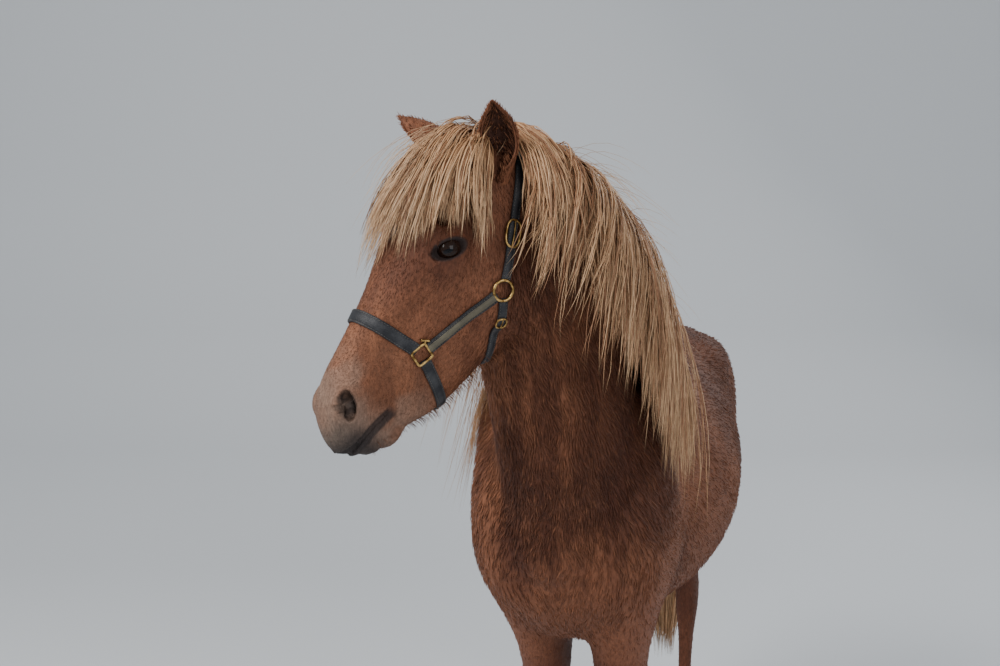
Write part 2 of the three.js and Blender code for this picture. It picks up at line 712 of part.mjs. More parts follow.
// Mane: rooted along the crest, most of it on the left
const MANE = { locks: 33, from: 0.14, to: 0.975, width: 62, thick: 18 };
const DOWN = new THREE.Vector3(0, 0, -1);

function maneLength(t, side) {
  const long = 210 + 190 * Math.sin(Math.PI * THREE.MathUtils.clamp((t + 0.05) / 1.2, 0, 1));
  return (side > 0 ? long : 0.6 * long) * random(0.86, 1.14);
}

function crestPoint(t, angle, grow) {
  const { centre, left, up } = neckTube.frame(t);
  const [x, y] = sectionPoint(neckTube.section(t), radians(angle));
  const more = 1 + grow / Math.hypot(x, y);
  const at = centre.clone().addScaledVector(left, x * more).addScaledVector(up, y * more);
  return { at, left, up };
}

function maneForm() {
  const core = sheetOver(neckTube, MANE.from, MANE.to, 7, (s) => 34 - 8 * s, 9, () => [112, 30]);
  const locks = [];
  for (let i = 0; i < MANE.locks; i++) {
    const t = MANE.from + ((MANE.to - MANE.from) * (i + random(0.1, 0.9))) / MANE.locks;
    const side = i % 5 === 3 ? -1 : 1;
    const layer = i % 2;
    const angle = 90 - side * random(2, 12) - (side > 0 ? 16 * (1 - layer) : 0);
    const { at, left, up } = crestPoint(t, angle, 4);
    const start = up.clone().multiplyScalar(0.55 * layer + 0.25).addScaledVector(left, side * 0.8);
    start.addScaledVector(X, random(0, 0.2) + 0.5 * Math.max(t - 0.6, 0));
    const sway = random(-0.04, 0.1) + 0.3 * (t - 0.4);
    const fall = DOWN.clone().addScaledVector(X, sway).addScaledVector(Y, side * 0.05).normalize();
    const reach = maneLength(t, side);
    const clear = (s) => MANE.thick * (0.6 + 1.1 * layer) * (1 - 0.5 * s);
    const points = drape(at, start, fall, reach, { steps: 5, heavy: 0.45, clear, wave: 4 });
    locks.push(lock(points, MANE.width * random(0.8, 1.15), MANE.thick, (p) => fleshNormal(p)));
  }
  return join([core, ...locks]);
}

// Forelock: rooted on the poll between the ears, fanned over the forehead
const FORELOCK = { locks: 13, width: 50, thick: 13, length: 262, spread: 84 };

function forelockForm() {
  const core = sheetOver(headTube, -6, 95, 4, (s) => 22 - 8 * s, 8, () => [118, 62]);
  const locks = [];
  for (let i = 0; i < FORELOCK.locks; i++) {
    const share = (i + random(0.2, 0.8)) / FORELOCK.locks;
    const fan = radians(FORELOCK.spread * (2 * share - 1));
    const layer = i % 2;
    const root = onHead(-8 + 26 * layer, 34 * (2 * share - 1), 4 + 4 * layer);
    const fall = ALONG.clone().multiplyScalar(Math.cos(fan)).addScaledVector(LEFT, Math.sin(fan)).addScaledVector(DOWN, 0.5);
    const start = fall.clone().addScaledVector(DORSAL, 0.5 + 0.5 * layer);
    const reach = FORELOCK.length * random(0.8, 1.12) * (1 - 0.12 * Math.abs(2 * share - 1));
    const clear = (s) => FORELOCK.thick * (0.6 + 0.8 * layer) * (1 - 0.45 * s);
    const points = drape(root, start, fall.normalize(), reach, { steps: 4, heavy: 0.4, clear, wave: 3 });
    locks.push(lock(points, FORELOCK.width * random(0.8, 1.15), FORELOCK.thick, (p) => fleshNormal(p)));
  }
  return join([core, ...locks]);
}

// Tail: a core from the dock down, with long locks round it
const TAIL = table(['z', 'x', 'side', 'half', 'deep'], [
  [720, -786, 7, 34, 24],
  [900, -780, 4, 46, 32],
  [1080, -766, 2, 42, 32],
  [1170, -742, 0, 34, 28],
  [1228, -700, 0, 27, 24],
  [1240, -660, 0, 16, 16],
]);
const TAIL_HAIR = { locks: 12, width: 94, thick: 20, tip: 225 };

const tailTube = {
  places: TAIL,
  frame: (z) => ({ centre: new THREE.Vector3(TAIL.at(z).x, TAIL.at(z).side, z), left: Y, up: X }),
  section: (z) => {
    const { half, deep } = TAIL.at(z);
    return { up: deep, down: deep, left: half, right: half };
  },
};

function tailForm() {
  const locks = [];
  for (let i = 0; i < TAIL_HAIR.locks; i++) {
    const round = (2 * Math.PI * (i + random(0, 0.3)) * 4) / TAIL_HAIR.locks;
    const height = 1190 - 340 * (i / TAIL_HAIR.locks);
    const { centre } = tailTube.frame(height);
    const { half, deep } = TAIL.at(height);
    const out = new THREE.Vector3(Math.sin(round), Math.cos(round), 0);
    const root = centre.clone().add(new THREE.Vector3(out.x * deep * 0.55, out.y * half * 0.6, 0));
    const tip = TAIL_HAIR.tip + random(-20, 190);
    const length = height - tip;
    const points = [root];
    for (let k = 1; k <= 5; k++) {
      const s = k / 5;
      const z = height - length * s;
      const axis = tailTube.frame(Math.max(z, 720)).centre;
      const swell = Math.sin(Math.PI * Math.min(s * 1.15, 1)) ** 0.6;
      const away = 0.5 + 0.5 * swell;
      const reach = { x: 48 * away, y: 94 * away * (1 - 0.35 * s ** 3) };
      points.push(new THREE.Vector3(axis.x + out.x * reach.x + 5 * Math.cos(round + 3 * s), axis.y + out.y * reach.y, z));
    }
    const width = TAIL_HAIR.width * random(0.85, 1.15);
    locks.push(lock(points, width, TAIL_HAIR.thick, () => new THREE.Vector3(out.x * 1.6, out.y, 0.01)));
  }
  return join([tubeSolid(tailTube, 10, 1), ...locks]);
}

// Assembly
const group = new THREE.Group();
function add(name, manifold, material) {
  const mesh = new THREE.Mesh(geometryOf(largest(manifold)), material);
  mesh.name = name;
  group.add(mesh);
}

const details = headDetails();
const features = join(details.added);
add('head', cut(skull().add(features), [...details.taken, mouthLine()]), coat);
const grownFeatures = join(headDetails(GAP).added);
const body = cut(trunk(), [skull(GAP), grownFeatures, ...partingSlabs()]);
for (const piece of body.decompose()) {
  if (piece.volume() < 1e4) continue;
  const name = nameOf(piece);
  add(name, piece, name.startsWith('hoof') ? horn : coat);
}
const clearOfFlesh = join([trunk(GAP), skull(GAP), grownFeatures]);
for (const [name, side] of MIRRORED) add(`eye_${name}`, eyeBall(side, 0), eyeGloss);
for (const ear of EARS) add(`ear_${ear.name}`, earSolid(ear).subtract(clearOfFlesh), coat);
const clearOfEars = join(EARS.map((ear) => earSolid(ear, GAP)));

// Rings of the halter, then the straps between them
const onCheek = ([along, dorsal], side, lift) => {
  const at = onHead(along, side * 130, dorsal);
  const inward = LEFT.clone().multiplyScalar(-side);
  while (fleshDistance(at) > lift) at.add(inward);
  return at;
};

function fitting(place, side, radius, wire, sides) {
  const at = onCheek(place, side, STRAP.thick / 2 + STRAP.clear);
  const out = fleshNormal(at);
  const x = ALONG.clone().addScaledVector(out, -ALONG.dot(out)).normalize();
  const y = new THREE.Vector3().crossVectors(out, x);
  return ring(at, x, y, out, radius, wire, sides).subtract(clearOfFlesh);
}

const rings = (grow) => MIRRORED.flatMap(([name, side]) => [
  [`ring_nose_${name}`, fitting(NOSE_RING, side, RINGS.nose, RINGS.wire + grow, 4)],
  [`ring_cheek_${name}`, fitting(CHEEK_RING, side, RINGS.cheek, RINGS.wire + grow, 16)],
]);
for (const [name, made] of rings(0)) add(name, made, brass);
const plug = (place, side, r) => {
  return placed(smallBall, onCheek(place, side, STRAP.thick / 2), ALONG, LEFT, DORSAL, [r, r, r]);
};
const clearOfRings = join([
  ...rings(GAP).map(([, made]) => made),
  ...MIRRORED.flatMap(([, side]) => [plug(NOSE_RING, side, RINGS.nose), plug(CHEEK_RING, side, RINGS.cheek)]),
]);

const straps = (grow) => {
  const onSkull = shellOf(skull, grow);
  const overPoll = shellOf(haltered, grow);
  const width = STRAP.width + 2 * grow;
  const strap = (name, from, to, sides = [-1, 1], shell = onSkull) => [name, band(shell, from, to, width, sides)];
  return [
    strap('noseband', [NOSE_TOP[0] - 6, 40], NOSE_RING),
    strap('chin_strap', NOSE_RING, CHIN_STRAP),
    strap('cheek_strap_left', NOSE_RING, CHEEK_RING, [0, 1]),
    strap('cheek_strap_right', NOSE_RING, CHEEK_RING, [-1, 0]),
    strap('crown_strap', CHEEK_RING, CROWN_TOP, [-1, 1], overPoll),
    strap('throat_strap', CHEEK_RING, THROAT_STRAP),
  ];
};
const clearOfAll = join([clearOfFlesh, clearOfRings, clearOfEars]);
const grownStraps = straps(GAP).map(([, made]) => made);
straps(0).forEach(([name, made], i) => {
  add(name, cut(made, [clearOfAll, ...grownStraps.slice(0, i)]), leather);
});
const clearOfHalter = join(grownStraps);

const clearOfHead = join([clearOfAll, clearOfHalter]);
const mane = maneForm().subtract(clearOfHead);
add('mane', mane, flaxen);
const forelock = forelockForm().subtract(clearOfHead);
add('forelock', forelock.subtract(mane), flaxen);
add('tail', tailForm().subtract(clearOfFlesh), flaxen);

// The row's origin: on the floor, under the middle of the box
const box = new THREE.Box3().setFromObject(group);
const middle = box.getCenter(new THREE.Vector3());
for (const mesh of group.children) {
  mesh.geometry = regrid(mesh.geometry.translate(-middle.x, -middle.y, -box.min.z));
}

export default group;
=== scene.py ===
# The looks of a life-size standing Icelandic horse in a leather halter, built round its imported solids.
# Forms are worked out in millimetres in the body's own frame and placed in metres in the row frame.
import math

import bmesh
import bpy
import numpy as np
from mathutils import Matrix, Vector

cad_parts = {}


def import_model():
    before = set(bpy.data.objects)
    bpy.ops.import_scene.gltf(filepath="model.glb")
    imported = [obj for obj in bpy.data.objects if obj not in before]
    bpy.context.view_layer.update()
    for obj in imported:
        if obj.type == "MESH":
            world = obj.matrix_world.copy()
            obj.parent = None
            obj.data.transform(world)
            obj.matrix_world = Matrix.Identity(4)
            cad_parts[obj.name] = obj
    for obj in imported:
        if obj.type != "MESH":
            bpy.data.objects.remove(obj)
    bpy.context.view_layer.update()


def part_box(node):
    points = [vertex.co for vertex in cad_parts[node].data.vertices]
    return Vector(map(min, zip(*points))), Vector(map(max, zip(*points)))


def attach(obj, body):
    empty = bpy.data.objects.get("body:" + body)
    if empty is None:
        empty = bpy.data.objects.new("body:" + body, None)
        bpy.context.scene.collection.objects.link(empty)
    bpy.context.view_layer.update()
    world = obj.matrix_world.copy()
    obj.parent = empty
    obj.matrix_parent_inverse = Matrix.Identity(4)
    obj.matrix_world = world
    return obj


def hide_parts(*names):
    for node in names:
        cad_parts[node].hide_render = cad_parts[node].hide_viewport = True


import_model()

import openvdb
from mathutils import Vector

# Driving sizes, the same as the solids'
POLL = np.array([940.0, -98.0, 1780.0])
HEAD_TURN = -45
HEAD_PITCH = 54
COAT_DEPTH = 5.0  # the skin lies this far inside the solids
VOXEL = 11.5
BLEND = {"neck": 60.0, "leg": 42.0, "head": 26.0}

X = np.array([1.0, 0.0, 0.0])
Y = np.array([0.0, 1.0, 0.0])
Z = np.array([0.0, 0.0, 1.0])


# Small vector helpers
def unit(v):
    return v / np.maximum(np.linalg.norm(v, axis=-1, keepdims=True), 1e-9)


def dot(a, b):
    return np.sum(a * b, axis=-1)


def smooth(t):
    t = np.clip(t, 0, 1)
    return t * t * (3 - 2 * t)


def mix(a, b, t):
    return a * (1 - t) + b * t


def squared(c, power):
    """A sine or cosine for a section that is squarer or sharper than an ellipse."""
    return np.sign(c) * np.abs(c) ** (2 / power)


def run_along(path):
    """How far along a path each of its points lies."""
    return np.concatenate([[0], np.cumsum(np.linalg.norm(np.diff(path, axis=0), axis=1))])


def read_along(place, known, values):
    """Rows of three values, known at some places, read at others."""
    return np.stack([np.interp(place, known, values[:, k]) for k in range(3)], axis=-1)


def turn(axis, degrees):
    a = math.radians(degrees)
    c, s = math.cos(a), math.sin(a)
    if axis == "z":
        return np.array([[c, -s, 0], [s, c, 0], [0, 0, 1]])
    return np.array([[c, 0, s], [0, 1, 0], [-s, 0, c]])


class Table:
    """Rows of sections, read smoothly at any place along the first column."""

    def __init__(self, names, rows):
        rows = np.array(rows, float)
        self.names = names
        self.place = rows[:, 0]
        self.rows = rows
        count = len(rows)
        before = np.maximum(np.arange(count) - 1, 0)
        after = np.minimum(np.arange(count) + 1, count - 1)
        run = (self.place[after] - self.place[before])[:, None]
        self.slope = (rows[after] - rows[before]) / run

    def at(self, where):
        x = np.clip(np.asarray(where, float), self.place[0], self.place[-1])
        i = np.clip(np.searchsorted(self.place, x, side="left") - 1, 0, len(self.place) - 2)
        span = self.place[i + 1] - self.place[i]
        t = ((x - self.place[i]) / span)[..., None]
        span = span[..., None]
        value = self.rows[i] * (2 * t**3 - 3 * t**2 + 1)
        value = value + self.slope[i] * span * (t**3 - 2 * t**2 + t)
        value = value + self.rows[i + 1] * (3 * t**2 - 2 * t**3)
        value = value + self.slope[i + 1] * span * (t**3 - t**2)
        return {name: value[..., n] for n, name in enumerate(self.names)}


TORSO = Table(["x", "top", "bottom", "half", "wide", "crown", "keel"], [
    [-722, 1150, 1050, 30, 1100, 2, 2],
    [-705, 1205, 985, 85, 1100, 2, 2],
    [-650, 1262, 900, 150, 1110, 2, 2],
    [-560, 1322, 845, 200, 1110, 1.9, 2],
    [-450, 1358, 812, 228, 1105, 1.9, 2],
    [-320, 1362, 785, 244, 1075, 1.9, 2.1],
    [-180, 1340, 745, 280, 1035, 1.9, 2.1],
    [0, 1316, 718, 294, 1005, 1.9, 2.1],
    [180, 1322, 716, 278, 995, 1.9, 2.05],
    [320, 1350, 730, 244, 990, 1.8, 1.9],
    [430, 1372, 750, 212, 985, 1.7, 1.8],
    [530, 1372, 772, 190, 990, 1.7, 1.9],
    [620, 1340, 796, 178, 1000, 1.9, 2],
    [690, 1270, 830, 164, 1010, 2, 2],
    [740, 1180, 880, 132, 1015, 2, 2],
    [770, 1100, 945, 70, 1020, 2, 2],
])

LEG_COLUMNS = ["z", "front", "back", "inner", "outer", "round"]
FORELEG = Table(LEG_COLUMNS, [
    [0, 632, 512, 74, 186, 2.2],
    [62, 606, 516, 84, 174, 2.2],
    [82, 596, 508, 90, 166, 2.2],
    [120, 572, 498, 98, 156, 2.1],
    [160, 564, 476, 96, 158, 2.1],
    [185, 560, 474, 96, 158, 2.1],
    [225, 552, 486, 102, 152, 2.1],
    [300, 550, 488, 104, 150, 2.1],
    [362, 558, 484, 99, 154, 2.1],
    [400, 568, 478, 93, 161, 2.3],
    [440, 570, 476, 92, 162, 2.3],
    [485, 568, 476, 92, 162, 2.2],
    [560, 576, 462, 86, 168, 2.1],
    [650, 596, 440, 72, 178, 2],
    [740, 626, 412, 54, 178, 2],
    [830, 668, 384, 34, 190, 2],
    [920, 716, 374, 30, 202, 2],
    [1000, 724, 376, 30, 204, 2],
    [1090, 690, 366, 30, 198, 2],
    [1180, 630, 350, 26, 178, 2],
    [1260, 560, 350, 20, 142, 2],
    [1310, 500, 380, 20, 100, 2],
])

HINDLEG = Table(LEG_COLUMNS, [
    [0, -530, -652, 80, 190, 2.2],
    [62, -556, -648, 90, 178, 2.2],
    [82, -564, -654, 96, 170, 2.2],
    [120, -588, -664, 104, 162, 2.1],
    [160, -598, -686, 104, 164, 2.1],
    [190, -606, -692, 105, 164, 2.1],
    [235, -618, -688, 110, 158, 2.1],
    [320, -622, -692, 111, 158, 2.1],
    [400, -618, -700, 108, 162, 2.2],
    [450, -610, -714, 102, 168, 2.3],
    [500, -600, -728, 98, 172, 2.3],
    [545, -590, -732, 98, 172, 2.2],
    [585, -576, -722, 98, 170, 2.1],
    [640, -546, -694, 92, 176, 2],
    [710, -500, -684, 76, 190, 2],
    [780, -440, -692, 56, 208, 2],
    [850, -388, -706, 42, 224, 2],
    [920, -362, -722, 36, 234, 2],
    [1000, -360, -736, 30, 238, 2.1],
    [1080, -370, -734, 30, 234, 2.1],
    [1170, -390, -700, 30, 216, 2],
    [1250, -430, -640, 30, 176, 2],
    [1300, -470, -590, 30, 120, 2],
])

LEGS = {
    "front_left": dict(sections=FORELEG, side=1, forward=20, inward=26, pivot=1150),
    "front_right": dict(sections=FORELEG, side=-1, forward=-150, inward=50, pivot=1150),
    "hind_left": dict(sections=HINDLEG, side=1, forward=100, inward=40, pivot=1100),
    "hind_right": dict(sections=HINDLEG, side=-1, forward=-40, inward=20, pivot=1100),
}
NARROWING = (1000, 600)

HEAD = Table(["along", "top", "bottom", "half", "wide", "crown", "jaw"], [
    [-32, -35, -120, 36, -80, 2, 2],
    [0, 0, -165, 62, -78, 2, 2],
    [50, 14, -205, 78, -72, 2.2, 2],
    [110, 20, -242, 90, -62, 2.4, 1.9],
    [170, 23, -266, 99, -56, 2.6, 1.7],
    [215, 20, -270, 101, -54, 2.7, 1.6],
    [260, 13, -262, 91, -62, 2.6, 1.6],
    [310, 5, -246, 77, -76, 2.4, 1.7],
    [370, -2, -232, 61, -84, 2.2, 1.8],
    [430, -8, -214, 53, -88, 2.1, 1.9],
    [480, -14, -184, 53, -86, 2.1, 2],
    [520, -27, -164, 52, -88, 2.2, 2],
    [550, -48, -152, 45, -96, 2.2, 2],
    [570, -72, -140, 30, -104, 2, 2],
    [578, -92, -122, 10, -108, 2, 2],
])

NECK = Table(["t", "crest", "throat", "half", "crown", "keel"], [
    [0, 300, 290, 160, 1.8, 2],
    [0.18, 285, 272, 154, 1.7, 2.1],
    [0.36, 252, 240, 138, 1.7, 2.1],
    [0.54, 214, 200, 118, 1.8, 2.1],
    [0.72, 176, 162, 100, 1.9, 2],
    [0.9, 126, 128, 84, 2, 2],
    [1, 66, 70, 58, 2, 2],
])

# Head frame: along the face from the poll to the lip, left, and dorsal
HEAD_AXES = turn("z", HEAD_TURN) @ turn("y", HEAD_PITCH)
ALONG, LEFT, DORSAL = HEAD_AXES.T


def on_head(along, left, dorsal):
    local = np.stack(np.broadcast_arrays(along, left, dorsal), axis=-1).astype(float)
    return POLL + local @ HEAD_AXES.T


def head_local(points):
    return (points - POLL) @ HEAD_AXES


# Neck axis: a centripetal spline through its points, read by its length
SPLINE_STEPS = 80  # between two points
SPLINE_SAMPLES = 160  # over the whole length
AT_ONCE = 200000  # points worked on at a time, to save memory


class Spline:
    def __init__(self, points):
        points = np.array(points, float)
        first = 2 * points[0] - points[1]
        last = 2 * points[-1] - points[-2]
        p = np.vstack([first, points, last])
        parts = []
        for i in range(1, len(p) - 2):
            gaps = np.linalg.norm(np.diff(p[i - 1:i + 3], axis=0), axis=1) ** 0.5
            before, mid, after = gaps
            step = (p[i + 1] - p[i]) / mid
            a = (p[i] - p[i - 1]) / before - (p[i + 1] - p[i - 1]) / (before + mid) + step
            b = step - (p[i + 2] - p[i]) / (mid + after) + (p[i + 2] - p[i + 1]) / after
            a, b = a * mid, b * mid
            t = np.linspace(0, 1, SPLINE_STEPS, endpoint=i == len(p) - 3)[:, None]
            part = p[i] * (2 * t**3 - 3 * t**2 + 1) + a * (t**3 - 2 * t**2 + t)
            parts.append(part + p[i + 1] * (3 * t**2 - 2 * t**3) + b * (t**3 - t**2))
        dense = np.vstack(parts)
        length = run_along(dense)
        self.length = length[-1]
        self.t = np.linspace(0, 1, SPLINE_SAMPLES)
        self.centre = read_along(self.t * self.length, length, dense)
        self.tangent = unit(np.gradient(self.centre, self.t, axis=0))
        self.left = unit(np.cross(Z, self.tangent))
        self.up = np.cross(self.tangent, self.left)

    def frame(self, t):
        return [read_along(t, self.t, v) for v in (self.centre, self.left, self.up, self.tangent)]

    def nearest(self, points):
        """The place along the spline that each point lies level with."""
        t = np.empty(len(points))
        last = len(self.t) - 1
        for start in range(0, len(points), AT_ONCE):
            part = points[start:start + AT_ONCE]
            far = np.linalg.norm(part[:, None, :] - self.centre[None, ::8], axis=2)
            best = np.minimum(np.argmin(far, axis=1) * 8, last)
            for _ in range(2):
                ahead = dot(part - self.centre[best], self.tangent[best]) / self.length
                guess = np.clip(self.t[best] + ahead, 0, 1)
                best = np.clip(np.round(guess * last).astype(int), 0, last)
            t[start:start + AT_ONCE] = guess
        return t


neck_axis = Spline([
    (430, 0, 1020),
    (575, 4, 1160),
    (700, 6, 1335),
    (798, -14, 1505),
    on_head(54, 0, -130),
    on_head(24, 0, -66),
])

# The row frame: the solids' left eye says how the whole was centred
EYE = dict(along=204, side=79, dorsal=-44, radius=23)
eye_low, eye_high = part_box("eye_left")
SHIFT = on_head(EYE["along"], EYE["side"], EYE["dorsal"]) - 500 * np.array(eye_low + eye_high)
SHIFT[2] = 0


def world(points):
    return (np.asarray(points, float) - SHIFT) / 1000


# Distance from the flesh: negative inside
def section_distance(side, height, up, down, half, crown, keel):
    power = np.where(height >= 0, crown, keel)
    u = np.abs(side) / half
    v = np.abs(height) / np.where(height >= 0, up, down)
    q = np.maximum((u**power + v**power) ** (1 / power), 1e-4)
    return np.hypot(side, height) * (1 - 1 / q)


def with_end(radial, beyond):
    """Adds the distance past the end of a tube."""
    out = np.hypot(np.maximum(radial, 0), beyond)
    return np.where(beyond > 0, np.where(radial > 0, out, np.maximum(radial, -20) + beyond), radial)


def torso_distance(p):
    s = TORSO.at(p[:, 0])
    up, down = s["top"] - s["wide"], s["wide"] - s["bottom"]
    radial = section_distance(p[:, 1], p[:, 2] - s["wide"], up, down, s["half"], s["crown"], s["keel"])
    beyond = np.maximum(TORSO.place[0] - p[:, 0], p[:, 0] - TORSO.place[-1])
    return with_end(radial, beyond)


def leg_middle(leg, z):
    s = leg["sections"].at(z)
    t = np.clip(1 - z / leg["pivot"], 0, 1)
    swing = 0.65 * t + 0.35 * smooth(t)
    narrow = smooth((NARROWING[0] - z) / (NARROWING[0] - NARROWING[1]))
    x = (s["front"] + s["back"]) / 2 + leg["forward"] * swing
    y = leg["side"] * ((s["inner"] + s["outer"]) / 2 - leg["inward"] * narrow)
    return x, y, (s["front"] - s["back"]) / 2, (s["outer"] - s["inner"]) / 2, s["round"]


def leg_distance(p, leg):
    x, y, deep, half, power = leg_middle(leg, p[:, 2])
    radial = section_distance(p[:, 1] - y, p[:, 0] - x, deep, deep, half, power, power)
    beyond = np.maximum(-p[:, 2], p[:, 2] - leg["sections"].place[-1])
    return with_end(radial, beyond)


def neck_distance(p):
    t = neck_axis.nearest(p)
    centre, left, up, tangent = neck_axis.frame(t)
    s = NECK.at(t)
    away = p - centre
    radial = section_distance(
        dot(away, left), dot(away, up), s["crest"], s["throat"], s["half"], s["crown"], s["keel"]
    )
    beyond = np.where((t <= 0) | (t >= 1), np.abs(dot(away, tangent)), -1)
    return with_end(radial, beyond)


def head_distance(p):
    local = head_local(p)
    s = HEAD.at(local[:, 0])
    radial = section_distance(
        local[:, 1], local[:, 2] - s["wide"], s["top"] - s["wide"], s["wide"] - s["bottom"],
        s["half"], s["crown"], s["jaw"],
    )
    beyond = np.maximum(HEAD.place[0] - local[:, 0], local[:, 0] - HEAD.place[-1])
    return with_end(radial, beyond)


def ball_distance(p, centre, axes, sizes):
    """Distance from an ellipsoid with its own axes."""
    local = (p - centre) @ np.array(axes).T
    scaled = local / np.array(sizes, float)
    r = np.maximum(np.linalg.norm(scaled, axis=1), 1e-6)
    return np.linalg.norm(local, axis=1) * (1 - 1 / r)


def joined(a, b, k):
    h = np.clip(0.5 + 0.5 * (b - a) / k, 0, 1)
    return b * (1 - h) + a * h - k * h * (1 - h)


def taken(a, b, k):
    """a with b cut out of it, the edge rounded over k."""
    return -joined(-a, b, k)


# Muscles and bones that show through the coat: centre, half sizes, blend, mirrored
BODY_FORMS = [
    ((648, 112, 1075), (70, 62, 120), 45),  # point of the shoulder
    ((560, 148, 1130), (95, 50, 170), 50),  # shoulder blade
    ((470, 168, 985), (95, 38, 120), 45),  # muscle behind the shoulder
    ((700, 72, 985), (62, 62, 105), 35),  # breast muscle
    ((-330, 172, 1236), (80, 50, 66), 70),  # point of the hip
    ((-560, 140, 1170), (130, 80, 130), 55),  # rump
    ((-440, 160, 905), (90, 50, 100), 70),  # stifle
]

HEAD_UP = (ALONG, LEFT, DORSAL)


def eye_axes(side):
    out = unit(ALONG * 0.22 + LEFT * side * 0.94 + DORSAL * 0.24)
    slit = ALONG * 0.86 + DORSAL * 0.58
    slit = unit(slit - out * dot(slit, out))
    return on_head(EYE["along"], side * EYE["side"], EYE["dorsal"]), out, slit, np.cross(out, slit)


LIDS = (37, 28, 27)  # half sizes along the slit, across it and outwards, as are the next two
LID_OPENING = (31.5, 12.8, 19)
LID_CREASE = (39, 31, 30)
NOSTRIL = dict(along=508, side=45, dorsal=-58)
NOSTRIL_HOLE, NOSTRIL_TAIL, NOSTRIL_FLAP = (23, 10, 21), (10, 6, 13), (15, 6.5, 9)
MOUTH = dict(corner=(474, -126), front=(582, -118))


def nostril_axes(side):
    out = unit(ALONG * 0.45 + LEFT * side * 0.86 + DORSAL * 0.1)
    tall = DORSAL * 0.66 - ALONG * 0.6
    tall = unit(tall - out * dot(tall, out))
    centre = on_head(NOSTRIL["along"], side * (NOSTRIL["side"] + 8), NOSTRIL["dorsal"])
    return centre, tall, np.cross(out, tall), out


def range_from(spot, local, side, proud, stretch=(1, 1, 1)):
    """Distance in the head frame from an eye or nostril, a little proud of its place."""
    centre = (spot["along"], side * (spot["side"] + proud), spot["dorsal"])
    return np.linalg.norm((local - centre) / stretch, axis=1)


# Forms of the head, in the head frame: centre, half sizes, blend
HEAD_FORMS = [
    ((184, 68, -22), (42, 20, 18), 16),  # bone over the eye
    ((210, 70, -72), (46, 20, 14), 14),  # bone under the eye
    ((298, 56, -94), (92, 12, 8), 14),  # ridge of the cheek
    ((185, 62, -165), (78, 36, 80), 26),  # jowl
    ((504, 38, -60), (38, 20, 30), 12),  # wing of the nostril
    ((478, 40, -78), (34, 16, 28), 14),
]
HEAD_MIDDLES = [
    ((546, 0, -96), (32, 41, 33), 12),  # upper lip
    ((527, 0, -146), (35, 33, 20), 10),  # lower lip
    ((498, 0, -166), (33, 29, 22), 12),  # chin
]
HEAD_HOLLOWS = [
    ((150, 76, -12), (28, 15, 14), 20),  # hollow over the eye
    ((392, 78, -58), (84, 16, 22), 26),  # side of the nose
]


def head_detail(p, d):
    """Adds the forms of the face to a distance d at points near the head."""
    for side in (1, -1):
        for (a, s, h), sizes, k in HEAD_FORMS:
            d = joined(d, ball_distance(p, on_head(a, side * s, h), HEAD_UP, sizes), k)
    for (a, s, h), sizes, k in HEAD_MIDDLES:
        d = joined(d, ball_distance(p, on_head(a, s, h), HEAD_UP, sizes), k)
    for side in (1, -1):
        for (a, s, h), sizes, k in HEAD_HOLLOWS:
            d = taken(d, ball_distance(p, on_head(a, side * s, h), HEAD_UP, sizes), k)
        centre, out, slit, across = eye_axes(side)
        axes = (slit, across, out)
        d = joined(d, ball_distance(p, centre, axes, LIDS), 9)
        d = taken(d, ball_distance(p, centre + out * 27 - DORSAL * 1.5, axes, LID_OPENING), 3)
        above = dot(p - centre, DORSAL)
        crease = np.abs(ball_distance(p, centre, axes, LID_CREASE)) - 1.1
        crease = np.maximum(np.maximum(crease, 9 - above), -(d + 2.6))
        d = taken(d, crease, 2.5)
    local = head_local(p)
    (a1, d1), (a2, d2) = MOUTH["corner"], MOUTH["front"]
    run = np.array([a2 - a1, d2 - d1], float)
    length = np.linalg.norm(run)
    run /= length
    forward = (local[:, 0] - a1) * run[0] + (local[:, 2] - d1) * run[1]
    bend = 8 * np.sin(np.pi * np.clip(forward / length, 0, 1))
    height = np.abs(-(local[:, 0] - a1) * run[1] + (local[:, 2] - d1) * run[0] - bend)
    open_at = smooth((forward + 4) / 26)
    groove = np.maximum(height - 1.1 * open_at, -forward)
    groove = np.maximum(groove, -(d + 9 * open_at))
    d = taken(d, groove, 5)
    for side in (1, -1):
        centre, tall, across, out = nostril_axes(side)
        axes = (tall, across, out)
        hole = ball_distance(p, centre - out * 2, axes, NOSTRIL_HOLE)
        tail = ball_distance(p, centre - out * 2 + tall * 18 - across * 2 * side, axes, NOSTRIL_TAIL)
        d = taken(d, joined(hole, tail, 5), 4)
        flap = centre + unit(ALONG * 0.8 + DORSAL * 0.5) * 9 - out * 5
        d = joined(d, ball_distance(p, flap, axes, NOSTRIL_FLAP), 4)
    return d


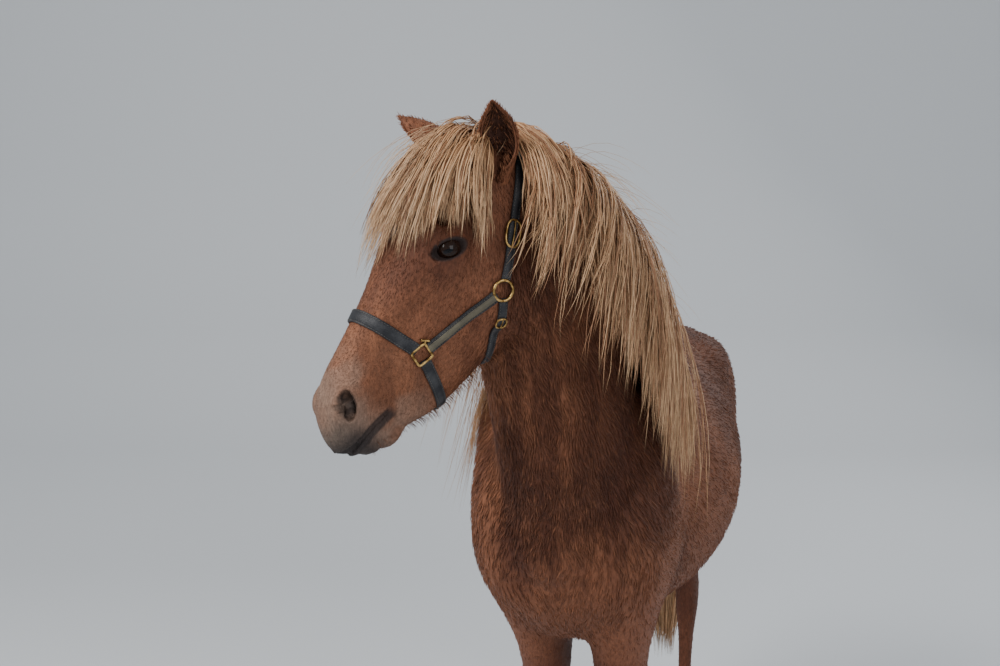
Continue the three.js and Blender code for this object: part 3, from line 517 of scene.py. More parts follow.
def flesh(p, detail=False):
    """Distance from the whole body, limbs and head blended, at points (n, 3)."""
    far = 400.0

    def near(function, low, high, *args):
        value = np.full(len(p), far)
        inside = np.all((p > low) & (p < high), axis=1)
        if inside.any():
            value[inside] = function(p[inside], *args)
        return value

    d = near(torso_distance, (-860, -430, 600), (900, 430, 1500))
    d = joined(d, near(neck_distance, (300, -330, 760), (1180, 330, 1990)), BLEND["neck"])
    for (x, y, z), sizes, k in BODY_FORMS:
        for side in (1, -1):
            margin = np.array(sizes) + 2 * k + 20
            centre = np.array([x, side * y, z])
            form = near(ball_distance, centre - margin, centre + margin, centre, (X, Y, Z), sizes)
            d = joined(d, form, k)
    for leg in LEGS.values():
        x = 560 if leg["sections"] is FORELEG else -560
        low = (x - 330, -330 if leg["side"] < 0 else -90, -60)
        high = (x + 330, 330 if leg["side"] > 0 else 90, 1400)
        d = joined(d, near(leg_distance, low, high, leg), BLEND["leg"])
    d = joined(d, near(head_distance, (700, -620, 1180), (1350, 200, 1960)), BLEND["head"])
    if detail:
        local = head_local(p)
        face = np.all((local > (-60, -160, -330)) & (local < (640, 160, 90)), axis=1)
        if face.any():
            d[face] = head_detail(p[face], d[face])
    return d


def slope_of(function, p, step):
    ahead = [function(p + axis * step) - function(p - axis * step) for axis in (X, Y, Z)]
    return np.stack(ahead, axis=1) / (2 * step)


# Noise on a lattice of hashed values, from 0 to 1
def noise(points, size, seed=0):
    q = np.asarray(points, float) / size + 1000 + 17.3 * seed
    cell = np.floor(q).astype(np.int64)
    t = smooth(q - cell)
    total = np.zeros(len(q))
    for corner in range(8):
        offset = np.array([corner & 1, corner >> 1 & 1, corner >> 2 & 1])
        c = cell + offset
        h = (c[:, 0] * 73856093 ^ c[:, 1] * 19349663 ^ c[:, 2] * 83492791) + seed * 2654435761
        h = (h ^ (h >> 13)) * 1274126177 & 0x7FFFFFFF
        h = (h ^ (h >> 16)) & 0xFFFF
        weight = np.prod(np.where(offset, t, 1 - t), axis=1)
        total += weight * h / 65535.0
    return total


def cloud(points, size, seed=0, layers=3):
    total = sum(noise(points, size / 2**k, seed + k) / 2**k for k in range(layers))
    return total / sum(1 / 2**k for k in range(layers))


# Meshes
def make_mesh(name, vertices, faces):
    """faces is an (n, 3) or (n, 4) array."""
    mesh = bpy.data.meshes.new(name)
    faces = np.asarray(faces, np.int32)
    sides = faces.shape[1]
    mesh.vertices.add(len(vertices))
    mesh.vertices.foreach_set("co", np.asarray(vertices, np.float32).ravel())
    mesh.loops.add(faces.size)
    mesh.loops.foreach_set("vertex_index", faces.ravel())
    mesh.polygons.add(len(faces))
    mesh.polygons.foreach_set("loop_start", np.arange(0, faces.size, sides, dtype=np.int32))
    mesh.polygons.foreach_set("use_smooth", np.ones(len(faces), bool))
    mesh.update(calc_edges=True)
    mesh.validate()
    made = bpy.data.objects.new(name, mesh)
    bpy.context.scene.collection.objects.link(made)
    return made


def paint(piece, colours):
    """One colour for each vertex, linear."""
    layer = piece.data.color_attributes.new("Tint", "FLOAT_COLOR", "POINT")
    full = np.ones((len(colours), 4), np.float32)
    full[:, :3] = colours
    layer.data.foreach_set("color", full.ravel())


def pulled(items, key, width, kind=np.float32):
    """One attribute of a mesh's vertices, edges or corners, as an array (n, width)."""
    values = np.empty(len(items) * width, kind)
    items.foreach_get(key, values)
    return values.reshape(-1, width)


def vertices_of(piece):
    return pulled(piece.data.vertices, "co", 3).astype(float)


def normals_of(piece):
    return pulled(piece.data.vertex_normals, "vector", 3).astype(float)


def face_outward(piece):
    """Turns a closed piece's faces round if they point inwards."""
    piece.data.calc_loop_triangles()
    p = vertices_of(piece)[pulled(piece.data.loop_triangles, "vertices", 3, np.int32)]
    p = p - p.reshape(-1, 3).mean(0)
    if dot(p[:, 0], np.cross(p[:, 1], p[:, 2])).sum() < 0:
        piece.data.flip_normals()


def dress(piece, look, slot, *nodes):
    """Gives a piece its material and body, and hides the solids that it stands for; slot is not used."""
    piece.data.materials.append(look)
    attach(piece, "root")
    if nodes:
        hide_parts(*nodes)
    print(piece.name, len(piece.data.polygons), "triangles")


# Skin: one surface over torso, legs, neck and head
SKIN_LOW, SKIN_HIGH = (-760.0, -620.0, 30.0), (1400.0, 340.0, 1860.0)
FAR = 60.0  # stands for any distance well away from the surface
ROUGH = 4  # voxels between the points of the rough grid


def filled_out(grid):
    """Each value of the rough grid, for all of its voxels."""
    for axis in range(3):
        grid = np.repeat(grid, ROUGH, axis)
    return grid


def coarse_skin():
    """Quads over the flesh, whose distance is worked out voxel by voxel only near its surface."""
    low, high = np.array(SKIN_LOW), np.array(SKIN_HIGH)
    counts = np.ceil((high - low) / VOXEL).astype(int)
    rough = [np.arange(0, n + ROUGH, ROUGH) for n in counts]
    grid = np.stack(np.meshgrid(*rough, indexing="ij"), axis=-1)
    value = flesh(low + grid.reshape(-1, 3) * VOXEL).reshape(grid.shape[:3])
    full = np.full([len(r) * ROUGH for r in rough], FAR, np.float32)
    full[filled_out(value < 0)] = -FAR
    band = filled_out(np.abs(value) < VOXEL * ROUGH * 1.9)
    shift = ROUGH // 2
    band = np.roll(band, -shift, axis=(0, 1, 2)) | band | np.roll(band, shift, axis=(0, 1, 2))
    index = np.argwhere(band)
    full[tuple(index.T)] = flesh(low + index * VOXEL)
    lattice = openvdb.FloatGrid(FAR)
    lattice.copyFromArray(full)
    points, quads = lattice.convertToQuads(-COAT_DEPTH)
    return low + points.astype(float) * VOXEL, quads[:, ::-1].astype(np.int32)


def coat_depth(p):
    """How far the skin lies inside the solids: least on the face and the lower legs."""
    along = head_local(p)[:, 0]
    on_face = smooth((along + 30) / 110) * (p[:, 2] > 1250)
    low = smooth((620 - p[:, 2]) / 250)
    tip = smooth((along - 535) / 50) * (p[:, 2] > 1150)
    return COAT_DEPTH * (1 - 0.55 * np.maximum(on_face, low)) + 9 * tip


def skin_distance(p):
    return flesh(p, detail=True) + coat_depth(p)


def fine_level(p):
    """How many times the skin's faces are split at points p."""
    local = head_local(p)
    a, s, d = local.T
    level = ((a > -10) & (a < 640) & (np.abs(s) < 150) & (d > -300) & (d < 60)).astype(int)
    level[(level > 0) & (a > 440) & (d > -200)] = 2
    for side in (1, -1):
        eye = range_from(EYE, local, side, 8, (1.35, 1, 1))
        level[eye < 62] = 2
        level[eye < 34] = 3
        level[range_from(NOSTRIL, local, side, 3) < 30] = 3
    (a1, d1), (a2, d2) = MOUTH["corner"], MOUTH["front"]
    line = mix(d1, d2, np.clip((a - a1) / (a2 - a1), 0, 1)) + 4
    level[(a > a1 - 14) & (np.abs(d - line) < 12) & (np.abs(s) < 90)] = 3
    return level


def relax(points, edges, share):
    """Each point moved towards the mean of its neighbours."""
    total = np.zeros_like(points)
    count = np.zeros(len(points))
    for a, b in ((0, 1), (1, 0)):
        np.add.at(total, edges[:, a], points[edges[:, b]])
        np.add.at(count, edges[:, a], 1)
    return mix(points, total / np.maximum(count, 1)[:, None], share)


def settle(points, moving, edges, rounds, reach=5.0):
    """Slides the moving points onto the skin's surface, evening them out in between."""
    for n in range(rounds):
        if n:
            points[moving] = relax(points, edges, 0.45)[moving]
        p = points[moving]
        d = skin_distance(p)
        g = slope_of(skin_distance, p, 1.2)
        steep = np.maximum(np.linalg.norm(g, axis=1), 0.35)
        points[moving] = p - unit(g) * np.clip(d / steep, -reach, reach)[:, None]
    return points


def build_skin():
    points, quads = coarse_skin()
    skin = make_mesh("skin", points, quads)
    for level in (1, 2, 3):
        form = bmesh.new()
        form.from_mesh(skin.data)
        form.faces.ensure_lookup_table()
        centres = np.array([f.calc_center_median() for f in form.faces])
        split = np.nonzero(fine_level(centres) >= level)[0]
        edges = {e for i in split for e in form.faces[i].edges}
        bmesh.ops.subdivide_edges(form, edges=list(edges), cuts=1, use_grid_fill=True)
        form.to_mesh(skin.data)
        form.free()
        co = vertices_of(skin)
        a, s, d = head_local(co).T
        moving = (a > -25) & (d > -310) & (d < 80) & (np.abs(s) < 170)
        pairs = pulled(skin.data.edges, "vertices", 2, np.int32)
        co = settle(co, moving, pairs, 3 if level < 3 else 5)
        skin.data.vertices.foreach_set("co", co.astype(np.float32).ravel())
    form = bmesh.new()
    form.from_mesh(skin.data)
    bmesh.ops.triangulate(form, faces=form.faces)
    form.to_mesh(skin.data)
    form.free()
    face_outward(skin)
    skin.data.update()
    for face in skin.data.polygons:
        face.use_smooth = True
    return skin


# Colours, linear
def shade(r, g, b):
    c = np.array([r, g, b], float) / 255
    return np.where(c <= 0.04045, c / 12.92, ((c + 0.055) / 1.055) ** 2.4)


CHESTNUT = shade(114, 70, 49)
DEEP = shade(74, 40, 27)
WARM = shade(142, 93, 65)
MUZZLE = shade(124, 102, 88)
SNOUT = shade(76, 70, 64)
DARK_SKIN = shade(42, 35, 34)
WHITE_HAIR = shade(206, 196, 184)
FLAXEN = shade(186, 140, 98)
PALE_HAIR = shade(216, 184, 148)
DULL_HAIR = shade(132, 84, 54)
DULL_BRASS = shade(112, 84, 46)
BRASS = shade(206, 170, 108)


def blended(base, colour, share):
    return base * (1 - share[:, None]) + colour * share[:, None]


def coat_colour(p):
    """The coat's colour at points p: chestnut, deeper below, greyer on the muzzle, with a star, and with
    painted light on the upper body and painted shade on the legs, under the jowl, in the nostrils and along
    the mouth.
    """
    local = head_local(p)
    a, s, d = local.T
    base = np.tile(CHESTNUT, (len(p), 1))
    # Warm patches, stronger higher up: partly the coat's own tone, partly painted light falling on the
    # upper body
    base = blended(base, WARM, 0.55 * cloud(p, 170, 3) * smooth((p[:, 2] - 700) / 400))
    base = blended(base, DEEP, 0.75 * smooth((cloud(p, 240, 11) - 0.45) / 0.3))
    # Darker legs: partly the coat's own colour, partly painted shade under the body
    legs = smooth((760 - p[:, 2]) / 320)
    base = blended(base, DEEP, 0.45 * legs)
    along = neck_axis.nearest(p)
    centre, left, up, _ = neck_axis.frame(along)
    on_neck = smooth((0.99 - along) / 0.1) * smooth((along - 0.1) / 0.2)
    front = smooth((-dot(p - centre, up) + 30) / 120)
    streak = smooth((noise(np.stack([s * 2, p[:, 1] * 3, p[:, 2] * 0.25], axis=1), 60, 5) - 0.35) / 0.3)
    base = blended(base, DEEP, 0.6 * on_neck * front * streak)
    on_face = ((a > -40) & (a < 640) & (np.abs(s) < 150) & (d > -320) & (d < 80)).astype(float)
    base = blended(base, WARM, 0.3 * on_face * smooth((a - 300) / 100))
    # The lower cheek and jowl darker: painted shade under the jowl
    cheek = 0.4 * on_face * smooth((a - 30) / 60) * smooth((250 - a) / 120)
    base = blended(base, DEEP, cheek * smooth((-60 - d) / 60))
    grey = on_face * smooth((a - 452 + 40 * (cloud(p, 40, 21) - 0.5)) / 80)
    base = blended(base, MUZZLE, 0.72 * grey)
    pale = smooth((cloud(p, 60, 27) - 0.4) / 0.25) * smooth((a - 380) / 80)
    base = blended(base, MUZZLE * 1.15, 0.5 * on_face * pale)
    lips = on_face * smooth((a - 500) / 45) * smooth((-74 - d) / 30)
    tip = on_face * smooth((a - 514) / 36) * smooth((-48 - d) / 30)
    base = blended(base, SNOUT, 0.7 * tip)
    base = blended(base, DARK_SKIN, 0.78 * lips)
    for side in (1, -1):
        off = local - (NOSTRIL["along"] - 3, side * 47, NOSTRIL["dorsal"])
        length, width = (off[:, 2] - off[:, 0]) * 0.71, (off[:, 2] + off[:, 0]) * 0.71
        # The nostril's opening near black: its dark skin with painted shade of the hollow
        hole = np.sqrt((length / 1.55) ** 2 + width**2 + off[:, 1] ** 2)
        base = blended(base, DARK_SKIN * 0.6, on_face * 0.95 * smooth((19 - hole) / 7))
        flap = np.hypot((length + 2) / 2.2, width - 11)
        base = blended(base, MUZZLE * 0.8, on_face * 0.7 * smooth((9 - flap) / 5) * (np.sign(s) == side))
        centre, out, slit, across = eye_axes(side)
        away = p - centre
        lid = np.hypot(dot(away, slit) / 33, dot(away, across) / 18) + 10 * (dot(away, out) < 0)
        base = blended(base, DARK_SKIN * 0.75, on_face * 0.92 * smooth((1.1 - lid) / 0.22))
    # A dark line along the mouth: dark lip skin with painted shade in the crease between the lips
    (a1, d1), (a2, d2) = MOUTH["corner"], MOUTH["front"]
    t = np.clip((a - a1) / (a2 - a1), 0, 1)
    line = np.abs(d - mix(d1, d2, t) - 7 * np.sin(np.pi * t) + 4)
    base = blended(base, DARK_SKIN, on_face * 0.85 * smooth((14 - line) / 6) * smooth((a - a1 + 12) / 16))
    star = np.hypot((a - 178) / 46, (s + 8) / 17 + 0.25 * (cloud(p, 25, 31) - 0.5))
    base = blended(base, WHITE_HAIR, on_face * (d > -40) * 0.85 * smooth((1.15 - star) / 0.3))
    return base * (0.86 + 0.28 * cloud(p, 14, 41, 2))[:, None]


# Materials
def material(name, roughness, **sockets):
    made = bpy.data.materials.new(name)
    made.use_nodes = True
    shader = made.node_tree.nodes["Principled BSDF"]
    shader.inputs["Roughness"].default_value = roughness
    for key, value in sockets.items():
        shader.inputs[key.replace("_", " ")].default_value = value
    return made, made.node_tree.nodes, made.node_tree.links, shader


def add_node(nodes, kind, **sockets):
    made = nodes.new("ShaderNode" + kind)
    for key, value in sockets.items():
        made.inputs[key.replace("_", " ")].default_value = value
    return made


def noise_node(nodes, links, scale, detail, stretch=None):
    """A noise over the object's own coordinates, stretched or not."""
    place = add_node(nodes, "TexCoord").outputs["Object"]
    if stretch:
        spread = add_node(nodes, "Mapping", Scale=stretch)
        links.new(place, spread.inputs["Vector"])
        place = spread.outputs["Vector"]
    grain = add_node(nodes, "TexNoise", Scale=scale, Detail=detail)
    links.new(place, grain.inputs["Vector"])
    return grain


def tinted(nodes, links, shader, scale, low, high, stretch=(1, 1, 1)):
    """Base colour from the piece's own tint, varied by a fine noise."""
    tint = add_node(nodes, "Attribute")
    tint.attribute_name = "Tint"
    grain = noise_node(nodes, links, scale, 3, stretch)
    level = add_node(nodes, "MapRange", From_Min=0.3, From_Max=0.7, To_Min=low, To_Max=high)
    mixed = add_node(nodes, "VectorMath")
    mixed.operation = "SCALE"
    links.new(grain.outputs["Fac"], level.inputs["Value"])
    links.new(tint.outputs["Color"], mixed.inputs[0])
    links.new(level.outputs["Result"], mixed.inputs["Scale"])
    links.new(mixed.outputs["Vector"], shader.inputs["Base Color"])
    return grain


def bumped(nodes, links, shader, height, distance):
    bump = add_node(nodes, "Bump", Distance=distance, Strength=1.0)
    links.new(height, bump.inputs["Height"])
    links.new(bump.outputs["Normal"], shader.inputs["Normal"])


def coat_material():
    made, nodes, links, shader = material("CoatSkin", 0.65, Specular_IOR_Level=0.22)
    tinted(nodes, links, shader, 260, 0.72, 1.25, (1, 1, 0.35))
    hairs = noise_node(nodes, links, 700, 2, (1, 1, 0.25))
    bumped(nodes, links, shader, hairs.outputs["Fac"], 0.0012)
    return made


def tinted_material(name, roughness, shine, scale, low, high):
    made, nodes, links, shader = material(name, roughness, Specular_IOR_Level=shine)
    tinted(nodes, links, shader, scale, low, high)
    return made


coat_skin = coat_material()
coat_hair = tinted_material("CoatHair", 0.6, 0.22, 90, 0.85, 1.15)
long_hair = tinted_material("LongHair", 0.45, 0.35, 90, 0.86, 1.14)

# Skin
skin = build_skin()
skin_points = vertices_of(skin)
paint(skin, coat_colour(skin_points))
skin.data.materials.append(coat_skin)
print("skin", len(skin.data.polygons), "triangles")


def to_row(piece):
    """From the body's frame in millimetres to the row frame in metres."""
    co = world(vertices_of(piece))
    piece.data.vertices.foreach_set("co", co.astype(np.float32).ravel())
    piece.data.update()
    return piece


to_row(skin)
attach(skin, "root")
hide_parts("head", "neck", "torso", *[f"leg_{name}" for name in LEGS])


# The coat's unwrap: each part of the body unrolled round its own axis into a chart of its own
CHARTS = [
    (0.02, 0.02, 0.46, 0.42),  # torso
    (0.52, 0.02, 0.20, 0.42),  # neck
    (0.77, 0.02, 0.20, 0.42),  # head
    *[(u, 0.52, 0.20, 0.42) for u in (0.02, 0.27, 0.52, 0.77)],  # legs
]
PATCH = 0.003  # side of the patch of the unwrap that a strand or tuft takes up
LEG_LIST = list(LEGS.values())


def chart_of(p):
    near = [torso_distance(p), neck_distance(p), head_distance(p)]
    near += [leg_distance(p, leg) + 25 for leg in LEG_LIST]
    return np.argmin(near, axis=0)


def unrolled(p, chart):
    """Share of the chart's length and of a full turn at points p, all of one chart."""
    if chart == 0:
        y, z = p[:, 1], p[:, 2] - 1060
        past = np.maximum(260 - np.hypot(y, z), 0) * smooth((np.abs(p[:, 0]) - 430) / 200)
        return (p[:, 0] + np.sign(p[:, 0]) * past + 1050) / 2150, np.arctan2(y, z) / (2 * np.pi) + 0.5
    if chart == 1:
        along = neck_axis.nearest(p)
        centre, left, up, _ = neck_axis.frame(along)
        return along, np.arctan2(dot(p - centre, left), dot(p - centre, up)) / (2 * np.pi) + 0.5
    if chart == 2:
        a, s, d = head_local(p).T
        past = np.maximum(75 - np.hypot(s, d + 105), 0) * smooth((a - 450) / 90)
        return (a + past + 60) / 760, np.arctan2(s, d + 110) / (2 * np.pi) + 0.5
    leg = LEG_LIST[chart - 3]
    x, y = leg_middle(leg, np.clip(p[:, 2], 0, 1200))[:2]
    turn_share = np.arctan2(p[:, 0] - x, leg["side"] * (p[:, 1] - y)) / (2 * np.pi) + 0.5
    return (p[:, 2] + 20) / 1250, turn_share


def bake_map(piece, spots):
    """Names one place on the unwrap for each corner of each face."""
    layer = piece.data.uv_layers.new(name="OFBake")
    layer.data.foreach_set("uv", np.asarray(spots, np.float32).ravel())


def corner_vertices(piece):
    return pulled(piece.data.loops, "vertex_index", 1, np.int32).ravel()


def on_unwrap(corners, charts):
    """corners (n, k, 3), each row in its own chart."""
    spots = np.zeros(corners.shape[:2] + (2,))
    for chart, (u, v, wide, high) in enumerate(CHARTS):
        rows = np.nonzero(charts == chart)[0]
        if len(rows) == 0:
            continue
        along, share = unrolled(corners[rows].reshape(-1, 3), chart)
        share = share.reshape(len(rows), -1)
        share = share + ((share.max(1, keepdims=True) - share) > 0.5)
        spots[rows, :, 0] = u + wide * np.clip(along.reshape(share.shape), 0, 1)
        spots[rows, :, 1] = v + high * share
    return spots


def patches(roots, shape):
    """A small patch of the unwrap at each root, with shape (k, 2) laid over it."""
    spots = on_unwrap(roots[:, None], chart_of(roots))
    return np.clip(spots, PATCH, 1 - PATCH) + PATCH * (np.asarray(shape)[None] - 0.5)


skin_corners = skin_points[corner_vertices(skin)].reshape(-1, 3, 3)
bake_map(skin, on_unwrap(skin_corners, chart_of(skin_corners.mean(1))))


# Camera, floor and light
CAMERA = dict(at=(2923.0, 522.5, 1643.0), heading=16.0, pitch=5.62, focal=43.2)
FLOOR_COLOUR = (0.63, 0.65, 0.67, 1)
SKY = dict(colour=(0.86, 0.9, 0.95, 1), strength=0.55)


def make_camera():
    data = bpy.data.cameras.new("Camera")
    data.sensor_width = 36
    data.lens = CAMERA["focal"]
    data.clip_start = 0.05
    data.clip_end = 60
    made = bpy.data.objects.new("Camera", data)
    bpy.context.scene.collection.objects.link(made)
    made.location = world(CAMERA["at"])
    made.rotation_euler = (math.radians(90 - CAMERA["pitch"]), 0, math.radians(90 + CAMERA["heading"]))
    bpy.context.scene.camera = made


def make_stage():
    rows = [(-9, 0), (5.5, 0), (7, 0.25), (7.8, 0.9), (8.1, 2.0), (8.2, 7.0)]
    heading = math.radians(CAMERA["heading"])
    back = np.array([-math.cos(heading), -math.sin(heading), 0])
    side = np.array([-back[1], back[0], 0])
    centre = world(CAMERA["at"]) * (1, 1, 0)
    points = [centre + back * along + side * s + Z * up for along, up in rows for s in (-14, 14)]
    faces = [(2 * i, 2 * i + 1, 2 * i + 3, 2 * i + 2) for i in range(len(rows) - 1)]
    floor = make_mesh("floor", points, faces)
    floor.data.materials.append(material("Floor", 0.85, Base_Color=FLOOR_COLOUR)[0])


def area_light(name, at, aim, size, power, colour):
    data = bpy.data.lights.new(name, "AREA")
    data.size = size
    data.energy = power
    data.color = colour
    made = bpy.data.objects.new(name, data)
    bpy.context.scene.collection.objects.link(made)
    made.location = at
    direction = Vector(aim) - Vector(at)
    made.rotation_euler = direction.to_track_quat("-Z", "Y").to_euler()


def make_light():
    area_light("Key", (3.2, -2.6, 3.9), (0.4, 0, 1.2), 2.6, 230, (1, 0.98, 0.95))
    area_light("Fill", (3.4, 3.6, 2.6), (0.3, 0, 1.1), 3.0, 85, (0.95, 0.97, 1))
    area_light("Rim", (-3.2, 2.2, 3.6), (0.2, 0, 1.2), 2.4, 80, (1, 1, 1))
    sky = bpy.data.worlds.new("Sky")
    sky.use_nodes = True
    background = sky.node_tree.nodes["Background"]
    background.inputs["Color"].default_value = SKY["colour"]
    background.inputs["Strength"].default_value = SKY["strength"]
    bpy.context.scene.world = sky


# Long hair: closed three-sided strands laid along paths that slide over the flesh
ROOT_DEPTH = 5.0
LOCK_STEPS = 9  # between the points of a long lock's path


def strands(name, points, normals, width, thick, colours):
    """points and normals (n, m, 3), width (n,) in mm, colours (n, m, 3)."""
    n, m = points.shape[:2]
    tangent = unit(np.gradient(points, axis=1))
    out = unit(normals - tangent * dot(normals, tangent)[..., None])
    across = np.cross(tangent, out)
    t = np.linspace(0, 1, m)
    taper = np.where(t < 0.2, 0.7 + 1.5 * t, 1 - (np.maximum(t - 0.2, 0) / 0.8) ** 2.2 * 0.94)
    w = (width[:, None] * taper)[..., None] * 0.5
    h = (thick * (0.35 + 0.65 * taper))[None, :, None] * 0.5
    sunk = out * h * 0.5
    rings = np.stack([points + across * w - sunk, points + out * h, points - across * w - sunk], axis=2)
    co = np.concatenate([rings[:, :-1].reshape(n, -1, 3), points[:, -1:]], axis=1)
    per = co.shape[1]
    faces = [(0, 2, 1)]
    for r in range(m - 2):
        for k in range(3):
            a, b = 3 * r + k, 3 * r + (k + 1) % 3
            faces += [(a, b, b + 3), (a, b + 3, a + 3)]
    last = 3 * (m - 2)
    faces += [(last + k, last + (k + 1) % 3, per - 1) for k in range(3)]
    faces = (np.array(faces)[None] + np.arange(n)[:, None, None] * per).reshape(-1, 3)
    piece = make_mesh(name, world(co.reshape(-1, 3)), faces)
    tint = np.concatenate([np.repeat(colours[:, :-1], 3, axis=1), colours[:, -1:]], axis=1)
    paint(piece, tint.reshape(-1, 3))
    shape = [(k / 2, 0.1 + 0.8 * r / (m - 1) - 0.1 * (k == 1)) for r in range(m - 1) for k in range(3)]
    spots = patches(points[:, 0], shape + [(0.5, 1)]).reshape(-1, 2)
    face_outward(piece)
    bake_map(piece, spots[corner_vertices(piece)])
    return piece


def flesh_normal(p):
    return unit(slope_of(flesh, p, 6.0))


def rooted(points):
    """The points moved to a little under the surface of the flesh."""
    return points - flesh_normal(points) * (flesh(points) + ROOT_DEPTH)[:, None]


def drape(root, start, fall, length, steps, heavy, clear, wave, rng):
    """Paths (n, steps + 1, 3) from the roots, bending towards fall and staying clear of the flesh."""
    at = root.copy()
    direction = unit(start)
    side = unit(np.cross(direction, fall))
    phase = rng.uniform(0, 2 * np.pi, len(root))
    pace = rng.uniform(0.7, 1.5, len(root))
    points, normals = [root.copy()], [flesh_normal(root)]
    for i in range(1, steps + 1):
        t = i / steps
        direction = unit(mix(direction, fall, heavy))
        at = at + direction * (length / steps)[:, None]
        at = at + side * (wave * np.cos(phase + pace * i))[:, None]
        room = flesh(at) - clear(t)
        n = flesh_normal(at)
        at = at + n * np.maximum(-room, 0)[:, None]
        points.append(at.copy())
        normals.append(n)
    return np.stack(points, axis=1), np.stack(normals, axis=1)


def resampled(points, normals, place):
    """Paths (n, m, 3) read at places (n, m) that run from 0 to m - 1."""
    low = np.clip(np.floor(place).astype(int), 0, points.shape[1] - 2)
    row = np.arange(len(points))[:, None]
    return mix(points[row, low], points[row, low + 1], (place - low)[..., None]), normals[row, low]


def fanned(points, normals, count, spread, rng, clump=0.55, frizz=2.0, shortest=0.75):
    """Splits each guide path into count strands that draw together towards the tip."""
    n, m = points.shape[:2]
    points = np.repeat(points, count, axis=0)
    normals = np.repeat(normals, count, axis=0)
    tangent = unit(np.gradient(points, axis=1))
    across = np.cross(tangent, normals)
    t = np.linspace(0, 1, m)[None, :, None]
    sideways = rng.normal(0, spread, (n * count, 1, 1))
    outward = rng.uniform(-0.2, 1.0, (n * count, 1, 1)) * spread * 0.7
    gather = 1 - clump * smooth(t * 1.1)
    moved = points + across * sideways * gather + normals * outward * gather * (0.3 + 0.7 * t)
    curl = rng.uniform(0, 2 * np.pi, (n * count, 1, 1))
    turns = rng.uniform(3, 9, (n * count, 1, 1))
    curl = curl + turns * t
    moved = moved + across * frizz * t * np.sin(curl) + normals * 0.6 * frizz * t * np.cos(curl)
    reach = rng.uniform(shortest, 1.05, n * count)
    place = np.linspace(0, 1, m)[None] * np.minimum(reach, 1)[:, None] * (m - 1)
    return resampled(moved, normals, place)


def hair_colours(n, m, rng, dark=0.25, root_dark=0.5, pale=0.5):
    """Flaxen, from duller roots to paler ends, each strand a little different."""
    t = np.linspace(0, 1, m)[None, :, None]
    one = rng.uniform(0, 1, (n, 1, 1))
    base = FLAXEN * np.ones((n, m, 3))
    base = mix(base, PALE_HAIR, min(pale * 1.35, 1) * smooth(t * 1.15) * (0.35 + 0.65 * one))
    base = mix(base, DULL_HAIR, root_dark * smooth(1 - t * 2.2))
    base = mix(base, DULL_HAIR, (rng.uniform(0, 1, (n, 1, 1)) < dark) * 0.75)
    return base * rng.uniform(0.82, 1.12, (n, 1, 1))


DOWN = -Z
MANE_LENGTH = Table(["t", "length"], [
    [0, 0.34],
    [0.18, 0.42],
    [0.4, 0.76],
    [0.6, 1.08],
    [0.8, 1.14],
    [1, 0.72],
])


def crest_point(t, angle, grow):
    """A place on the neck near its crest, with the ways left and up from it."""
    centre, left, up, _ = neck_axis.frame(t)
    s = NECK.at(t)
    a = np.radians(angle)
    c, sn = np.cos(a), np.sin(a)
    x = squared(c, s["crown"]) * s["half"]
    y = np.abs(sn) ** (2 / s["crown"]) * s["crest"]
    more = 1 + grow / np.hypot(x, y)
    return centre + left * (x * more)[:, None] + up * (y * more)[:, None], left, up


def build_mane(name, guides, each, side, seed, span, long, bulk):
    """Locks from the crest between two shares of the neck, falling to one side."""
    rng = np.random.default_rng(seed)
    first, last = span
    t = first + (last - first) * (np.arange(guides) + rng.uniform(0, 1, guides)) / guides
    rng.shuffle(t)
    layer = rng.uniform(0, 1, guides)
    angle = 90 - side * (rng.uniform(-9, 16, guides) + 10 * (1 - layer))
    root, left, up = crest_point(t, angle, -7)
    start = up * (0.5 + 0.6 * layer)[:, None] + left * (side * rng.uniform(0.45, 0.9, guides))[:, None]
    start = start + X * (rng.uniform(-0.1, 0.2, guides) + 0.3 * np.maximum(t - 0.6, 0))[:, None]
    sway = rng.normal(0.05, 0.07, guides) + 0.16 * (t - 0.45)
    sweep = rng.uniform(0, 1.15, guides) * (0.65 + 0.4 * smooth((t - 0.45) / 0.35))
    fall = DOWN + X * sway[:, None] - up * sweep[:, None]
    fall = unit(fall + Y * (side * rng.uniform(-0.02, 0.1, guides))[:, None])
    length = long * MANE_LENGTH.at(t)["length"] * rng.uniform(0.66, 1.1, guides)
    length = length * np.where(rng.uniform(0, 1, guides) < 0.07, 1.22, 1)
    clear = lambda s: (5 + bulk * layer) * (1 - 0.5 * s) + 3
    points, normals = drape(root, start, fall, length, LOCK_STEPS, 0.34, clear, 5.0, rng)
    points, normals = fanned(points, normals, each, 10.0, rng, clump=0.6, frizz=10.0, shortest=0.6)
    n, m = points.shape[:2]
    width = rng.uniform(1.7, 3.4, n)
    return strands(name, points, normals, width, 1.5, hair_colours(n, m, rng, dark=0.3))


def build_poll_hair(seed=23):
    """The first of the mane, from between and behind the ears down over the near side."""
    rng = np.random.default_rng(seed)
    guides, each = 190, 7
    layer = rng.uniform(0, 1, guides)
    root = on_head(rng.uniform(-92, -44, guides), rng.uniform(-20, 46, guides), 0 * layer + 6)
    root = rooted(root)
    start = unit(Z * 0.12 + LEFT * 0.9 - ALONG * (0.55 + 0.5 * layer)[:, None])
    fall = unit(DOWN + LEFT * 0.05 + ALONG * rng.uniform(-0.05, 0.4, guides)[:, None])
    length = rng.uniform(200, 330, guides)
    clear = lambda s: (5 + 15 * layer) * (1 - 0.2 * s) + 3
    points, normals = drape(root, start, fall, length, LOCK_STEPS, 0.32, clear, 3.0, rng)
    points, normals = fanned(points, normals, each, 9.0, rng, clump=0.55, frizz=9.0, shortest=0.6)
    n, m = points.shape[:2]
    width = rng.uniform(2.0, 3.8, n)
    return strands("poll_hair", points, normals, width, 1.5, hair_colours(n, m, rng, dark=0.3))


